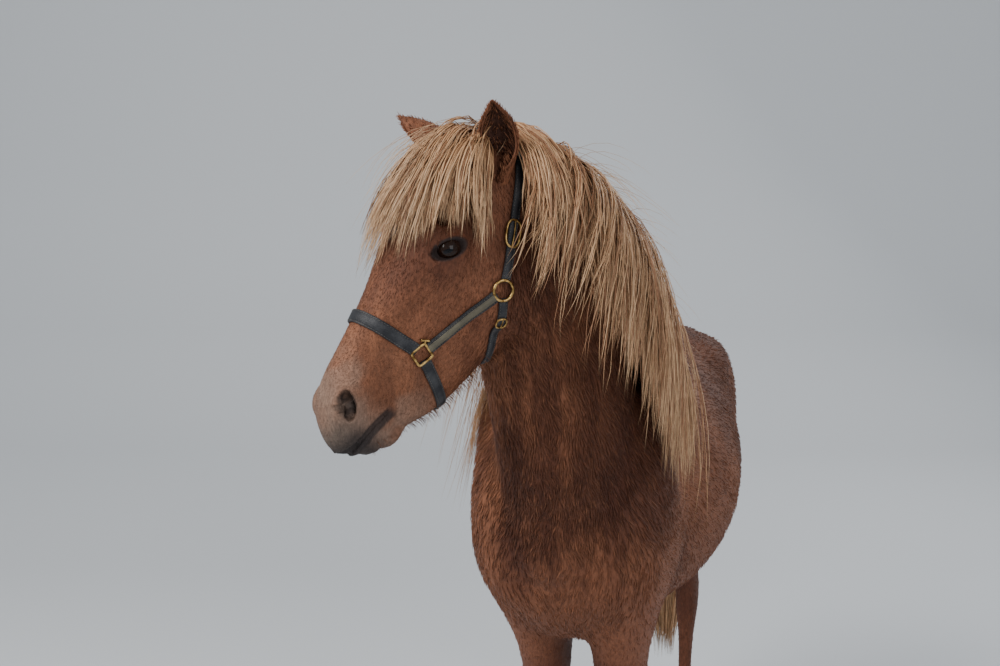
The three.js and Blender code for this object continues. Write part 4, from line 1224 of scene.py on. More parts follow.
def parted(points, normals, rng):
    """Ends each strand where it would hang over an eye."""
    n, m = points.shape[:2]
    a, s, d = np.moveaxis(head_local(points.reshape(-1, 3)).reshape(n, m, 3), -1, 0)
    ease = rng.normal(0, 9, (n, 1))
    over = (np.abs(s) > 44 + ease) & (a > EYE["along"] - 46 + ease) & (a < EYE["along"] + 60)
    over &= (d > EYE["dorsal"] - 10) & (d < EYE["dorsal"] + 60)
    last = np.maximum(np.where(over.any(1), over.argmax(1), m - 1), 3)
    return resampled(points, normals, np.linspace(0, 1, m)[None] * last[:, None])


def build_forelock(seed=31):
    rng = np.random.default_rng(seed)
    guides, each = 300, 8
    share = (np.arange(guides) + rng.uniform(0, 1, guides)) / guides
    rng.shuffle(share)
    across = 2 * share - 1
    layer = rng.uniform(0, 1, guides)
    fan = np.radians(70 * across + rng.normal(0, 5, guides) - 6)
    beside = across > 0.83
    root = on_head(-34 + 66 * rng.uniform(0, 1, guides), 42 * across, -4 + 0 * across)
    temple = on_head(rng.uniform(4, 44, guides), rng.uniform(2, 32, guides), -4 + 0 * across)
    root = np.where(beside[:, None], temple, root)
    root = rooted(root)
    way = ALONG * np.cos(fan)[:, None] + LEFT * np.sin(fan)[:, None]
    fall = way * 0.42 + DOWN * 0.9
    fall = np.where(beside[:, None], DOWN + LEFT * 0.04 + ALONG * 0.05, fall)
    start = way * 0.9 + DORSAL * (0.5 + 0.9 * layer)[:, None]
    start = np.where(beside[:, None], LEFT + DORSAL * 0.35, start)
    length = 285 * rng.uniform(0.7, 1.1, guides) * (1 - 0.06 * np.abs(across)) + 45 * (across > 0.72)
    length = np.where(beside, rng.uniform(165, 238, guides), length)
    bulk = 50 * layer * np.where(beside, 0.4, 1)
    clear = lambda s: (5 + bulk) * (1 - 0.45 * s) * min(0.4 + 2.2 * s, 1) + 2
    points, normals = drape(root, start, unit(fall), length, LOCK_STEPS, 0.3, clear, 2.6, rng)
    points, normals = fanned(points, normals, each, 8.0, rng, clump=0.6, frizz=8.0, shortest=0.66)
    points, normals = parted(points, normals, rng)
    n, m = points.shape[:2]
    colours = hair_colours(n, m, rng, dark=0.22, root_dark=0.35, pale=0.6)
    return strands("forelock_hair", points, normals, rng.uniform(1.9, 3.6, n), 1.4, colours)


TAIL = Table(["z", "x", "side", "half", "deep"], [
    [720, -786, 7, 34, 24],
    [900, -780, 4, 46, 32],
    [1080, -766, 2, 42, 32],
    [1170, -742, 0, 34, 28],
    [1228, -700, 0, 27, 24],
    [1240, -660, 0, 16, 16],
])


def build_tail(seed=51):
    rng = np.random.default_rng(seed)
    guides, each = 300, 6
    around = rng.uniform(0, 2 * np.pi, guides)
    height = 1215 - 330 * rng.uniform(0, 1, guides) ** 1.2
    s = TAIL.at(height)
    out = np.stack([np.sin(around), np.cos(around), np.zeros(guides)], axis=1)
    x, y = s["x"] + out[:, 0] * s["deep"] * 0.6, s["side"] + out[:, 1] * s["half"] * 0.7
    root = np.stack([x, y, height], axis=1)
    tip = 235 + rng.uniform(0, 190, guides)
    rows = 13
    points = [root]
    full = rng.uniform(0.35, 1.0, guides)
    for k in range(1, rows):
        t = k / (rows - 1)
        z = height - (height - tip) * t
        axis = TAIL.at(np.maximum(z, 720))
        swell = np.sin(np.pi * min(t * 1.12, 1)) ** 0.6
        away = 0.45 + 0.55 * swell
        x = axis["x"] + out[:, 0] * 50 * away * full + 4 * np.cos(3 * around + 4 * t)
        y = axis["side"] + out[:, 1] * 98 * away * (1 - 0.4 * t**3) * full + 5 * np.sin(2 * around + 5 * t)
        points.append(np.stack([x, y, z], axis=1))
    points = np.stack(points, axis=1)
    normals = np.repeat(unit(out * (1.6, 1, 0))[:, None], rows, axis=1)
    points, normals = fanned(points, normals, each, 7.0, rng, clump=0.6, frizz=6.0, shortest=0.8)
    room = flesh(points.reshape(-1, 3)).reshape(points.shape[:2]) - 3
    push = np.maximum(-room, 0)
    push[:, 0] = 0
    points = points - X * push[..., None]
    n, m = points.shape[:2]
    colours = hair_colours(n, m, rng, dark=0.3, root_dark=0.7, pale=0.4)
    return strands("tail_hair", points, normals, rng.uniform(3.0, 5.6, n), 2.1, colours)


low_mane = build_mane("mane_left_low", 350, 8, 1, 11, (0.08, 0.62), 440, 32)
dress(low_mane, long_hair, "flaxen_hair", "mane")
for row in (
    ("mane_left_high", 350, 8, 1, 12, (0.5, 1.0), 430, 42),
    ("mane_right", 130, 7, -1, 13, (0.2, 1.0), 400, 22),
):
    dress(build_mane(*row), long_hair, "flaxen_hair")
dress(build_poll_hair(), long_hair, "flaxen_hair")
dress(build_forelock(), long_hair, "flaxen_hair", "forelock")
dress(build_tail(), long_hair, "flaxen_hair", "tail")


# Surfaces from grids of points
def sheet_faces(rows, columns, closed):
    r, c = np.meshgrid(np.arange(rows - 1), np.arange(columns if closed else columns - 1), indexing="ij")
    a = r * columns + c
    b = r * columns + (c + 1) % columns
    return np.stack([a, b, b + columns, a + columns], axis=-1).reshape(-1, 4)


def tube_points(rings):
    """All points of the rings, then the middles of the first and the last."""
    return np.concatenate([rings.reshape(-1, 3), rings[0].mean(0)[None], rings[-1].mean(0)[None]])


def tube_mesh(name, rings):
    """A closed tube from (rows, sides, 3) rings with flat ends fanned from their middles."""
    rows, sides = rings.shape[:2]
    faces = sheet_faces(rows, sides, True)
    faces = np.concatenate([faces[:, [0, 1, 2]], faces[:, [0, 2, 3]]])
    k = np.arange(sides)
    first, last = rows * sides, rows * sides + 1
    low = np.stack([(k + 1) % sides, k, np.full(sides, first)], axis=1)
    base = (rows - 1) * sides
    high = np.stack([base + k, base + (k + 1) % sides, np.full(sides, last)], axis=1)
    return make_mesh(name, world(tube_points(rings)), np.concatenate([faces, low, high]))


# Eyes
def build_eye(name, side):
    centre, out, slit, across = eye_axes(side)
    look = unit(out * 0.97 + ALONG * 0.2)
    slit = unit(slit - look * dot(slit, look))
    across = np.cross(look, slit)
    rings, sides = 48, 64
    polar = np.linspace(0, np.pi, rings)[:, None]
    around = np.linspace(0, 2 * np.pi, sides, endpoint=False)[None]
    swell = 1 + 0.045 * np.exp(-((polar / 0.5) ** 4))
    r = (EYE["radius"] - 0.5) * swell
    x, y = np.sin(polar) * np.cos(around), np.sin(polar) * np.sin(around)
    z = np.cos(polar) * np.ones_like(around)
    co = centre + (slit * (x * r)[..., None] + across * (y * r)[..., None] + look * (z * r)[..., None])
    piece = tube_mesh(name, co)
    full = tube_points(co) - centre
    u = full @ slit / EYE["radius"]
    v = full @ across / EYE["radius"]
    front = full @ look > 0
    pupil = smooth((1 - np.hypot(u / 0.42, v / 0.2)) / 0.25)
    iris = smooth((1 - np.hypot(u / 0.86, v / 0.8)) / 0.12)
    grain = noise(np.stack([np.arctan2(v, u) * 60, np.zeros_like(u), np.zeros_like(u)], axis=1), 3.0, 4)
    colour = np.tile(shade(44, 29, 24), (len(full), 1))
    brown = shade(34, 20, 13) * (0.6 + 0.8 * grain)[:, None]
    iris = (front * iris)[:, None]
    colour = np.where(iris > 0, mix(colour, brown, iris), colour)
    colour = mix(colour, shade(7, 8, 12), (front * pupil)[:, None])
    paint(piece, colour)
    return piece


eye_look = tinted_material("EyeGloss", 0.07, 0.22, 900, 0.9, 1.1)
for name, side in (("left", 1), ("right", -1)):
    dress(build_eye(f"eyeball_{name}", side), eye_look, "eye", f"eye_{name}")


# Ears: a cupped shell that opens towards `open`
EARS = {
    "left": dict(base=(46, 58, -54), tip=(-30, 106, 42), open=(0.35, 0.87, 0.34), bow=1),
    "right": dict(base=(52, -63, -50), tip=(24, -97, 92), open=(0.35, -0.88, 0.15), bow=-1),
}
EAR = Table(["s", "half", "deep", "back"], [
    [0, 25, 24, 4],
    [0.2, 31, 26, 1],
    [0.42, 34, 23, -3],
    [0.64, 29, 17, -5],
    [0.84, 17, 10, -3],
    [1, 2.0, 2.5, 1],
])


def ear_opening(v):
    """How far round the ear's back its wall reaches on each side."""
    opening = np.radians(mix(174, 118, smooth(v / 0.34)))
    return mix(opening, np.radians(150), smooth((v - 0.7) / 0.3))


def ear_points(ear, v, angle, shrink):
    """Points on the ear's wall: v from base to tip, angle from -180 to 180 round its back."""
    foot = on_head(*ear["base"])
    axis = on_head(*ear["tip"]) - foot
    out = ALONG * ear["open"][0] + LEFT * ear["open"][1] + DORSAL * ear["open"][2]
    out = unit(out - axis * dot(out, axis) / dot(axis, axis))
    across = unit(np.cross(axis, out))
    s = EAR.at(v)
    bend = 7 * np.sin(np.pi * v)
    centre = foot + axis * v[..., None] + out * s["back"][..., None]
    centre = centre + across * (ear["bow"] * bend)[..., None]
    centre = centre - out * (5 * np.sin(np.pi * v) ** 2)[..., None]
    gape = 1 + 0.10 * np.sin(np.pi * np.clip(v, 0, 1)) * (np.abs(angle) / np.pi) ** 4
    w = np.maximum(s["half"] - shrink, 0.4) * gape
    d = np.maximum(s["deep"] - shrink, 0.4)
    wall = centre + across * (np.sin(angle) * w)[..., None] - out * (np.cos(angle) * d)[..., None]
    return wall, out, axis


def build_ear(name, ear):
    rows, columns = 44, 44
    v = np.linspace(-0.12, 1, rows)[:, None] * np.ones((1, columns))
    opening = ear_opening(v[:, :1])
    angle = np.linspace(-1, 1, columns)[None] * opening
    outer, inner = ear_points(ear, v, angle, 0)[0], ear_points(ear, v, angle, 3.0)[0]
    ring = np.concatenate([outer, inner[:, ::-1]], axis=1)
    piece = tube_mesh(name, ring)
    where = tube_points(ring)
    inside = np.zeros(ring.shape[:2])
    inside[:, columns:] = 1
    inside = np.append(inside.ravel(), [0, 0])
    vv = np.append(np.concatenate([v, v], axis=1).ravel(), [0, 1])
    edge = np.abs(angle / opening)
    edge = np.append(np.concatenate([edge, edge[:, ::-1]], axis=1).ravel(), [0, 0])
    colour = blended(np.tile(CHESTNUT, (len(where), 1)), WARM, 0.5 * cloud(where, 30, 61))
    colour = blended(colour, DEEP, 0.4 * smooth((edge - 0.8) / 0.15) * (1 - inside))
    # Inside the ear darker, lighter towards its rim: darker inner skin with painted shade in the cup
    dark = blended(np.tile(shade(78, 50, 39), (len(where), 1)), WARM, 0.5 * smooth((edge - 0.45) / 0.4))
    colour = np.where(inside[:, None] > 0, dark, colour)
    colour = blended(colour, DEEP, 0.5 * smooth((vv - 0.88) / 0.1))
    paint(piece, colour)
    face_outward(piece)
    row, column = np.meshgrid(np.arange(rows), np.arange(2 * columns), indexing="ij")
    spots = [0.05 + 0.88 * column / (2 * columns), 0.05 + 0.88 * row / rows]
    spots = np.concatenate([np.stack(spots, axis=-1).reshape(-1, 2), [[0.5, 0.01], [0.5, 0.97]]])
    bake_map(piece, spots[corner_vertices(piece)])
    return piece


for name, ear in EARS.items():
    dress(build_ear(f"ear_shell_{name}", ear), coat_skin, "coat", f"ear_{name}")


# Hooves
def build_hoof(name, leg):
    sections = leg["sections"]
    s0 = sections.at(0.0)
    slope = math.atan2(86 - 52, s0["front"] - s0["back"])
    rows, sides = 20, 72
    around = np.linspace(0, 2 * np.pi, sides, endpoint=False)
    rings = []
    for r in range(rows):
        t = r / (rows - 1)
        top = 70 + math.tan(slope) * (np.cos(around) * 58)
        z = top * t
        x, y, deep, half, power = leg_middle(leg, z)
        cx, sy = squared(np.cos(around), power), squared(np.sin(around), power)
        ripple = 0.35 * np.sin(z / 2.6 + 0.6 * np.cos(around * 2)) * (t < 0.9) - 1.2
        bevel = -1.6 * (r == 0) + 1.8 * smooth((t - 0.86) / 0.08) * smooth((1.0 - t) / 0.04)
        grow = 1 + (ripple + bevel) / deep
        rings.append(np.stack([x + cx * deep * grow, y + sy * half * grow, np.maximum(z, 0.0)], axis=-1))
    piece = tube_mesh(name, np.array(rings))
    face_outward(piece)
    co = vertices_of(piece) * 1000 + SHIFT
    round_way = np.arctan2(co[:, 1] - y.mean(), co[:, 0] - x.mean()) * 60
    streak = noise(np.stack([round_way, co[:, 2] * 0.06, co[:, 0] * 0], axis=1), 3.2, 9)
    colour = blended(np.tile(shade(70, 58, 50), (len(co), 1)), shade(118, 100, 82), 0.7 * streak)
    colour = blended(colour, shade(148, 132, 112), 0.5 * smooth((co[:, 2] - 52) / 30))
    colour = blended(colour, shade(52, 44, 38), 0.6 * smooth((12 - co[:, 2]) / 12))
    paint(piece, colour)
    return piece


def horn_material():
    made, nodes, links, shader = material("Horn", 0.42)
    grain = tinted(nodes, links, shader, 160, 0.8, 1.2, (1, 1, 5))
    bumped(nodes, links, shader, grain.outputs["Fac"], 0.0006)
    return made


horn_look = horn_material()
for name, leg in LEGS.items():
    dress(build_hoof(f"horn_{name}", leg), horn_look, "horn", f"hoof_{name}")


# Halter
THICK = 4.2  # of a strap
STRAP_MIDDLE = 1.6 + THICK / 2  # from the skin
STRAP_SECTION = [
    (-1, 0.1), (-0.97, 0.62), (-0.9, 0.92), (-0.82, 0.96), (-0.77, 0.7), (-0.72, 0.98), (0, 1.08),
    (0.72, 0.98), (0.77, 0.7), (0.82, 0.96), (0.9, 0.92), (0.97, 0.62), (1, 0.1),
    (0.97, -0.7), (0.85, -1), (0, -1), (-0.85, -1), (-0.97, -0.7),
]
NOSE_TOP = np.array([372.0, -6.0])
NOSE_RING = np.array([369.0, -115.0])
CHIN_STRAP = np.array([428.0, -262.0])
CHEEK_RING = np.array([207.0, -161.0])
CROWN_TOP = np.array([-110.0, -27.0])
THROAT_STRAP = np.array([334.0, -277.0])


def in_plane(place):
    return on_head(place[0], 0, place[1])


def onto_skin(start, inward, reach=260.0):
    """Marches points inward until they lie where the middle of a strap does."""
    at = start.copy()
    for _ in range(60):
        d = skin_distance(at) - STRAP_MIDDLE
        at = at + inward * np.clip(d * 0.75, -6, reach)[:, None]
    return at


def fan_frame(low, high, share):
    """The way from low to high, and the place that lies a share of it along."""
    low, high = in_plane(low), in_plane(high)
    return unit(high - low), mix(low, high, share)


def fan_path(low, high, share, start, end, count):
    """A path round the head in the plane of LEFT and low to high, from one angle to another."""
    axis, origin = fan_frame(low, high, share)
    angle = np.linspace(start, end, count)
    ray = LEFT * np.cos(angle)[:, None] + axis * np.sin(angle)[:, None]
    return onto_skin(origin + ray * 230, -ray)


def ring_place(place, side):
    start = in_plane(place) + LEFT * side * 200
    return onto_skin(start[None], -LEFT[None] * side)[0]


def angle_of(low, high, share, side):
    """The fan angle at which the ring at low lies."""
    axis, origin = fan_frame(low, high, share)
    away = ring_place(low, side) - origin
    return math.atan2(dot(away, axis), dot(away, LEFT))


def skin_normal(p):
    return unit(slope_of(skin_distance, p, 4.0))


def ribbon(name, path, width, thick, trim):
    """A strap along a path on the skin, with eased edges, cut back by trim at both ends."""
    length = run_along(path)
    count = max(int((length[-1] - 2 * trim) / 4), 8)
    place = np.linspace(trim, length[-1] - trim, count)
    p = read_along(place, length, path)
    for _ in range(3):
        p[1:-1] = mix(p[1:-1], (p[:-2] + p[2:]) / 2, 0.5)
    tangent = unit(np.gradient(p, axis=0))
    out = skin_normal(p)
    out = unit(out - tangent * dot(out, tangent)[:, None])
    for _ in range(4):
        out[1:-1] = unit(out[1:-1] + out[:-2] + out[2:])
    across = np.cross(tangent, out)
    rings = [p + across * (x * (width / 2)) + out * (y * thick / 2) for x, y in STRAP_SECTION]
    piece = tube_mesh(name, np.stack(rings, axis=1))
    face_outward(piece)
    return piece, p, out, across


def stitch_mesh(name, rows):
    """Small raised stitches: rows of (points, outs, runs)."""
    box = np.array([(x, y, z) for x in (-1, 1) for y in (-1, 1) for z in (-1, 1)], float)
    box[:, 0] *= np.where(box[:, 2] > 0, 0.75, 1)
    box[:, 1] *= np.where(box[:, 2] > 0, 0.6, 1)
    faces = [
        (0, 1, 3), (0, 3, 2), (4, 6, 7), (4, 7, 5), (0, 4, 5), (0, 5, 1),
        (2, 3, 7), (2, 7, 6), (0, 2, 6), (0, 6, 4), (1, 5, 7), (1, 7, 3),
    ]
    at, out, run = [np.concatenate(part) for part in zip(*rows)]
    side = np.cross(out, run)
    co = at[:, None] + run[:, None] * box[None, :, :1] * 1.35 + side[:, None] * box[None, :, 1:2] * 0.42
    co = co + out[:, None] * box[None, :, 2:] * 0.42
    index = np.array(faces)[None] + 8 * np.arange(len(at))[:, None, None]
    return make_mesh(name, world(co.reshape(-1, 3)), index.reshape(-1, 3))


def wire(name, points, radius, closed=True, sides=12, out=None, flat=1.0):
    """A round wire along a closed or open path."""
    p = np.array(points, float)
    if closed:
        tangent = unit(np.roll(p, -1, axis=0) - np.roll(p, 1, axis=0))
    else:
        tangent = unit(np.gradient(p, axis=0))
    n = unit(out - tangent * (tangent @ out)[:, None])
    b = np.cross(tangent, n)
    a = np.linspace(0, 2 * np.pi, sides, endpoint=False)
    wide, high = (np.cos(a) * radius)[None, :, None], (np.sin(a) * radius * flat)[None, :, None]
    rings = p[:, None] + b[:, None] * wide + n[:, None] * high
    if not closed:
        return tube_mesh(name, rings)
    rows = len(p)
    faces = sheet_faces(rows + 1, sides, True) % (rows * sides)
    return make_mesh(name, world(rings.reshape(-1, 3)), faces)


def loop_points(centre, x, y, half_x, half_y, power, count=72):
    a = np.linspace(0, 2 * np.pi, count, endpoint=False)
    px, py = squared(np.cos(a), power) * half_x, squared(np.sin(a), power) * half_y
    return centre + x * px[:, None] + y * py[:, None]


def leather_material(name, colour, worn):
    made, nodes, links, shader = material(name, 0.5, Specular_IOR_Level=0.32)
    place = add_node(nodes, "TexCoord")
    grain = add_node(nodes, "TexVoronoi", Scale=520)
    wear = noise_node(nodes, links, 38, 5)
    ramp = add_node(nodes, "MapRange", From_Min=0.42, From_Max=0.68)
    mixed = add_node(nodes, "Mix")
    mixed.data_type = "RGBA"
    mixed.inputs["A"].default_value = (*colour, 1)
    mixed.inputs["B"].default_value = (*worn, 1)
    links.new(place.outputs["Object"], grain.inputs["Vector"])
    links.new(wear.outputs["Fac"], ramp.inputs["Value"])
    links.new(ramp.outputs["Result"], mixed.inputs["Factor"])
    links.new(mixed.outputs["Result"], shader.inputs["Base Color"])
    bumped(nodes, links, shader, grain.outputs["Distance"], 0.0005)
    return made


def brass_material():
    made, nodes, links, shader = material("Brass", 0.3, Metallic=1.0)
    wear = noise_node(nodes, links, 120, 4)
    ramp = add_node(nodes, "ValToRGB")
    for stop, place, colour in zip(ramp.color_ramp.elements, (0.35, 0.62), (DULL_BRASS, BRASS)):
        stop.position = place
        stop.color = (*colour, 1)
    links.new(wear.outputs["Fac"], ramp.inputs["Fac"])
    links.new(ramp.outputs["Color"], shader.inputs["Base Color"])
    bumped(nodes, links, shader, wear.outputs["Fac"], 0.0003)
    return made


dark_leather = leather_material("DarkLeather", shade(30, 31, 35), shade(60, 60, 62))
olive_leather = leather_material("OliveLeather", shade(86, 80, 66), shade(112, 104, 84))
brass_look = brass_material()
thread = leather_material("Thread", shade(92, 88, 84), shade(116, 110, 100))

stitches = []


def sew(p, out, across, width, inset=2.6, gap=5.0):
    length = run_along(p)
    place = np.arange(5, length[-1] - 5, gap)
    at = read_along(place, length, p)
    o, a = unit(read_along(place, length, out)), unit(read_along(place, length, across))
    for side in (-1, 1):
        edge = at + a * side * (width / 2 - inset) + o * (THICK * 0.49)
        stitches.append((edge, o, np.cross(o, a)))


def strap(name, path, node, trim, width):
    piece, p, out, across = ribbon(name, path, width, THICK, trim)
    sew(p, out, across, width)
    dress(piece, dark_leather, "leather", node)


def build_halter():
    start, end = [angle_of(NOSE_RING, NOSE_TOP, 0.0, side) for side in (1, -1)]
    path = fan_path(NOSE_RING, NOSE_TOP, 0.0, start, end, 120)
    strap("nose_band", path, "noseband", 12, 23)
    path = fan_path(NOSE_RING, CHIN_STRAP, 0.0, 0.0, math.pi, 160)
    strap("chin_band", path, "chin_strap", 12, 21)
    for name, side in (("left", 1), ("right", -1)):
        line = mix(in_plane(NOSE_RING), in_plane(CHEEK_RING), np.linspace(0, 1, 90)[:, None])
        path = onto_skin(line + LEFT * side * 200, -LEFT[None] * side)
        strap(f"cheek_band_{name}", path, f"cheek_strap_{name}", 13, 21)
        raised = path + skin_normal(path) * 2.4
        pad, *_ = ribbon(f"cheek_pad_{name}", raised, 11.5, 3.4, 15)
        dress(pad, olive_leather, "leather")
    first = angle_of(CHEEK_RING, CROWN_TOP, 0.45, 1)
    path = fan_path(CHEEK_RING, CROWN_TOP, 0.45, first, math.pi - first, 220)
    strap("crown_band", path, "crown_strap", 14, 16.5)
    buckle_on(path, 0.155, (13.5, 23), "crown_buckle_left", 2.2)
    first = angle_of(CHEEK_RING, THROAT_STRAP, 0.3, 1)
    path = fan_path(CHEEK_RING, THROAT_STRAP, 0.3, first, math.pi - first, 160)
    strap("throat_band", path, "throat_strap", 14, 16)
    buckle_on(path, 0.17, (9, 11), "throat_buckle_left", 1.8)


def buckle_on(path, share, half, name, radius):
    """A frame with its tongue round a strap, part of the way along it."""
    length = run_along(path)
    at, ahead = read_along(share * length[-1] + np.array([0, 10]), length, path)
    run = unit(ahead - at)
    out = skin_normal(at[None])[0]
    out = unit(out - run * dot(out, run))
    centre = at + out * (THICK * 0.75)
    loop = loop_points(centre, np.cross(out, run), run, half[0], half[1], 2.6)
    dress(wire(name, loop, radius, out=out), brass_look, "brass")
    tongue = []
    for t in np.linspace(0, 1, 10):
        lift = radius * 0.9 + 1.2 * math.sin(math.pi * t)
        tongue.append(centre + run * mix(-half[1], half[1] * 0.98, t) + out * lift)
    dress(wire(name + "_tongue", tongue, radius * 0.6, closed=False, out=out), brass_look, "brass")


def build_rings():
    for name, side in (("left", 1), ("right", -1)):
        at = ring_place(NOSE_RING, side)
        out = skin_normal(at[None])[0]
        run = unit(in_plane(CHEEK_RING) - in_plane(NOSE_RING))
        run = unit(run - out * dot(run, out))
        side_way = np.cross(out, run)
        centre = at + out * 1.6
        square = loop_points(centre, run, side_way, 14.5, 14.5, 8)
        piece = wire(f"nose_ring_{name}", square, 2.5, out=out, flat=0.85)
        dress(piece, brass_look, "brass", f"ring_nose_{name}")
        up = side_way * np.sign(dot(side_way, Z))
        corner = unit(run + up)
        level = np.cross(out, corner)
        stem = [centre + corner * x for x in np.linspace(17, 25, 5)]
        bar = [centre + corner * 25 + level * x for x in np.linspace(-8, 8, 9)]
        for part, line in (("stem", stem), ("bar", bar)):
            dress(wire(f"nose_ring_{name}_{part}", line, 2.2, closed=False, out=out), brass_look, "brass")
        at = ring_place(CHEEK_RING, side)
        out = skin_normal(at[None])[0]
        run = unit(run - out * dot(run, out))
        loop = loop_points(at + out * 1.2, run, np.cross(out, run), 17.5, 17.5, 2, 96)
        dress(wire(f"cheek_ring_{name}", loop, 2.7, out=out), brass_look, "brass", f"ring_cheek_{name}")


build_halter()
build_rings()
dress(stitch_mesh("halter_stitches", stitches), thread, "leather")


# Loose hair: under the jaw, beside the throat, at the fetlocks, and strays above the mane
def loose(name, root, start, fall, length, width, seed, colours, steps=6, heavy=0.25, wave=2.0, clear=2.0):
    rng = np.random.default_rng(seed)
    room = lambda s: clear * min(s * 4, 1) - 4 * (s < 0.2)
    points, normals = drape(rooted(root), start, unit(fall), length, steps, heavy, room, wave, rng)
    n, m = points.shape[:2]
    one = rng.uniform(0.75, 1.2, (n, 1, 1))
    tint = mix(*colours, np.linspace(0, 1, m)[None, :, None]) * one
    return strands(name, points, normals, width * rng.uniform(0.7, 1.3, n), 0.9, tint)


def build_beard(seed=61):
    rng = np.random.default_rng(seed)
    n = 420
    a = rng.uniform(190, 545, n)
    s = rng.normal(0, 20, n)
    root = on_head(a, s, HEAD.at(a)["bottom"] + 4)
    start = -DORSAL * 0.55 - ALONG * 0.8 + LEFT * (0.012 * s)[:, None] + rng.normal(0, 0.15, (n, 3))
    length = rng.uniform(10, 34, n) * (1 - 0.5 * smooth((a - 430) / 60))
    fall = DOWN * np.ones((n, 3))
    return loose("beard", root, start, fall, length, 0.9, seed, (CHESTNUT * 0.7, WARM * 0.9))


def build_fetlocks(seed=63):
    rng = np.random.default_rng(seed)
    roots, starts, lengths = [], [], []
    for leg in LEGS.values():
        n = 240
        z = rng.uniform(96, 210, n)
        x, y, deep, half = leg_middle(leg, z)[:4]
        turn_by = rng.normal(np.pi, 0.75, n)
        way = np.stack([np.cos(turn_by), np.sin(turn_by), np.zeros(n)], axis=1)
        out = np.stack([deep, half + 0 * z, 0 * z], axis=1)
        roots.append(np.stack([x, y + 0 * z, z], axis=1) + way * out)
        starts.append(way * 0.22 + DOWN + rng.normal(0, 0.08, (n, 3)))
        lengths.append(rng.uniform(20, 44, n) * smooth((z - 60) / 60))
    root, start, length = (np.concatenate(part) for part in (roots, starts, lengths))
    fall = DOWN * np.ones((len(root), 3))
    return loose("fetlock_hair", root, start, fall, length, 2.6, seed, (DEEP, CHESTNUT), steps=5, heavy=0.3)


def build_strays(seed=65):
    """Fine hairs that stand clear of the mane and forelock."""
    rng = np.random.default_rng(seed)
    n = 620
    t = rng.uniform(0.1, 1.0, n)
    root, left, up = crest_point(t, 90 - rng.uniform(-14, 24, n), -5)
    start = up * rng.uniform(0.9, 1.5, n)[:, None] + left * rng.uniform(0, 1, n)[:, None]
    start = start + rng.normal(0, 0.35, (n, 3))
    head = rng.uniform(0, 1, n) < 0.42
    top = on_head(rng.uniform(-60, 30, n), rng.uniform(-40, 40, n), 2 + 0 * t)
    root[head] = top[head]
    over = DORSAL * rng.uniform(0.7, 1.3, n)[:, None] + ALONG * rng.uniform(-0.3, 0.8, n)[:, None]
    over = over + LEFT * rng.normal(0, 0.5, n)[:, None]
    start[head] = over[head]
    fall = DOWN + 0.35 * ALONG * head[:, None] + 0.4 * LEFT * (~head)[:, None] + rng.normal(0, 0.2, (n, 3))
    length = rng.uniform(90, 260, n)
    how = dict(steps=8, heavy=0.22, wave=5.0, clear=14.0)
    return loose("stray_hair", root, start, fall, length, 1.1, seed, (DULL_HAIR, PALE_HAIR), **how)


def build_throat_wisps(seed=67):
    """Long thin locks of the far side that show past the throat."""
    rng = np.random.default_rng(seed)
    n = 420
    t = rng.uniform(0.5, 0.98, n)
    root, left, up = crest_point(t, 90 + rng.uniform(4, 30, n), -6)
    start = left * -0.9 + up * 0.2 + rng.normal(0, 0.1, (n, 3))
    fall = DOWN - 0.12 * left + 0.16 * X + rng.normal(0, 0.05, (n, 3))
    length = rng.uniform(330, 560, n)
    how = dict(steps=10, heavy=0.3, wave=4.0, clear=12.0)
    return loose("throat_wisps", root, start, fall, length, 2.4, seed, (DULL_HAIR * 0.9, FLAXEN), **how)


def build_ear_hair(name, ear, seed):
    """Short hair on the back of the ear, and longer hair inside it and along its edges."""
    rng = np.random.default_rng(seed)
    n = 1150
    v = rng.uniform(-0.06, 0.97, n)
    kind = rng.uniform(0, 1, n)
    edge, within = kind < 0.3, (kind >= 0.3) & (kind < 0.62)
    share = rng.uniform(-1, 1, n)
    share = np.where(edge, np.sign(share) * rng.uniform(0.86, 0.99, n), share)
    angle = share * ear_opening(v)
    outer, out, axis = ear_points(ear, v, angle, 0)
    inner = ear_points(ear, v, angle, 3.2)[0]
    root = np.where(within[:, None], inner, outer)
    away = unit(outer - inner) * np.where(within, -1, 1)[:, None]
    lie = unit(axis) + rng.normal(0, 0.16, (n, 3))
    lift = np.where(edge, 0.25, np.where(within, 0.7, 0.12))
    start = unit(lie * np.where(within, 0.75, 1.0)[:, None] + away * lift[:, None])
    start = start + out * np.where(within | edge, 0.35, 0)[:, None]
    long, middling, short = rng.uniform(12, 26, n), rng.uniform(6, 13, n), rng.uniform(5, 9, n)
    length = np.where(within, long, np.where(edge, middling, short))
    length = length * (1 - 0.45 * np.clip(v, 0, 1))
    steps = 3
    t = np.linspace(0, 1, steps + 1)
    points = root[:, None] + start[:, None] * (length[:, None] * t)[..., None]
    points = points + unit(axis) * (length[:, None] * 0.3 * t**2)[..., None]
    normals = np.repeat(away[:, None], steps + 1, axis=1)
    dark, light = rng.uniform(0.3, 1, n)[:, None], rng.uniform(0, 0.7, n)[:, None]
    tone = np.where(within[:, None], mix(DEEP, WARM, dark), mix(CHESTNUT, WARM, light))
    # Each hair darker at its root and lighter at its tip: painted shade among the hairs and a painted
    # highlight on the tips
    tint = tone[:, None] * np.linspace(0.8, 1.2, steps + 1)[None, :, None]
    return strands(f"ear_hair_{name}", points, normals, rng.uniform(1.3, 2.6, n), 0.9, tint)


for seed, (name, ear) in enumerate(EARS.items()):
    dress(build_ear_hair(name, ear, 91 + seed), coat_hair, "coat")
dress(build_beard(), coat_hair, "coat")
dress(build_fetlocks(), coat_hair, "coat")
dress(build_strays(), long_hair, "flaxen_hair")
dress(build_throat_wisps(), long_hair, "flaxen_hair")


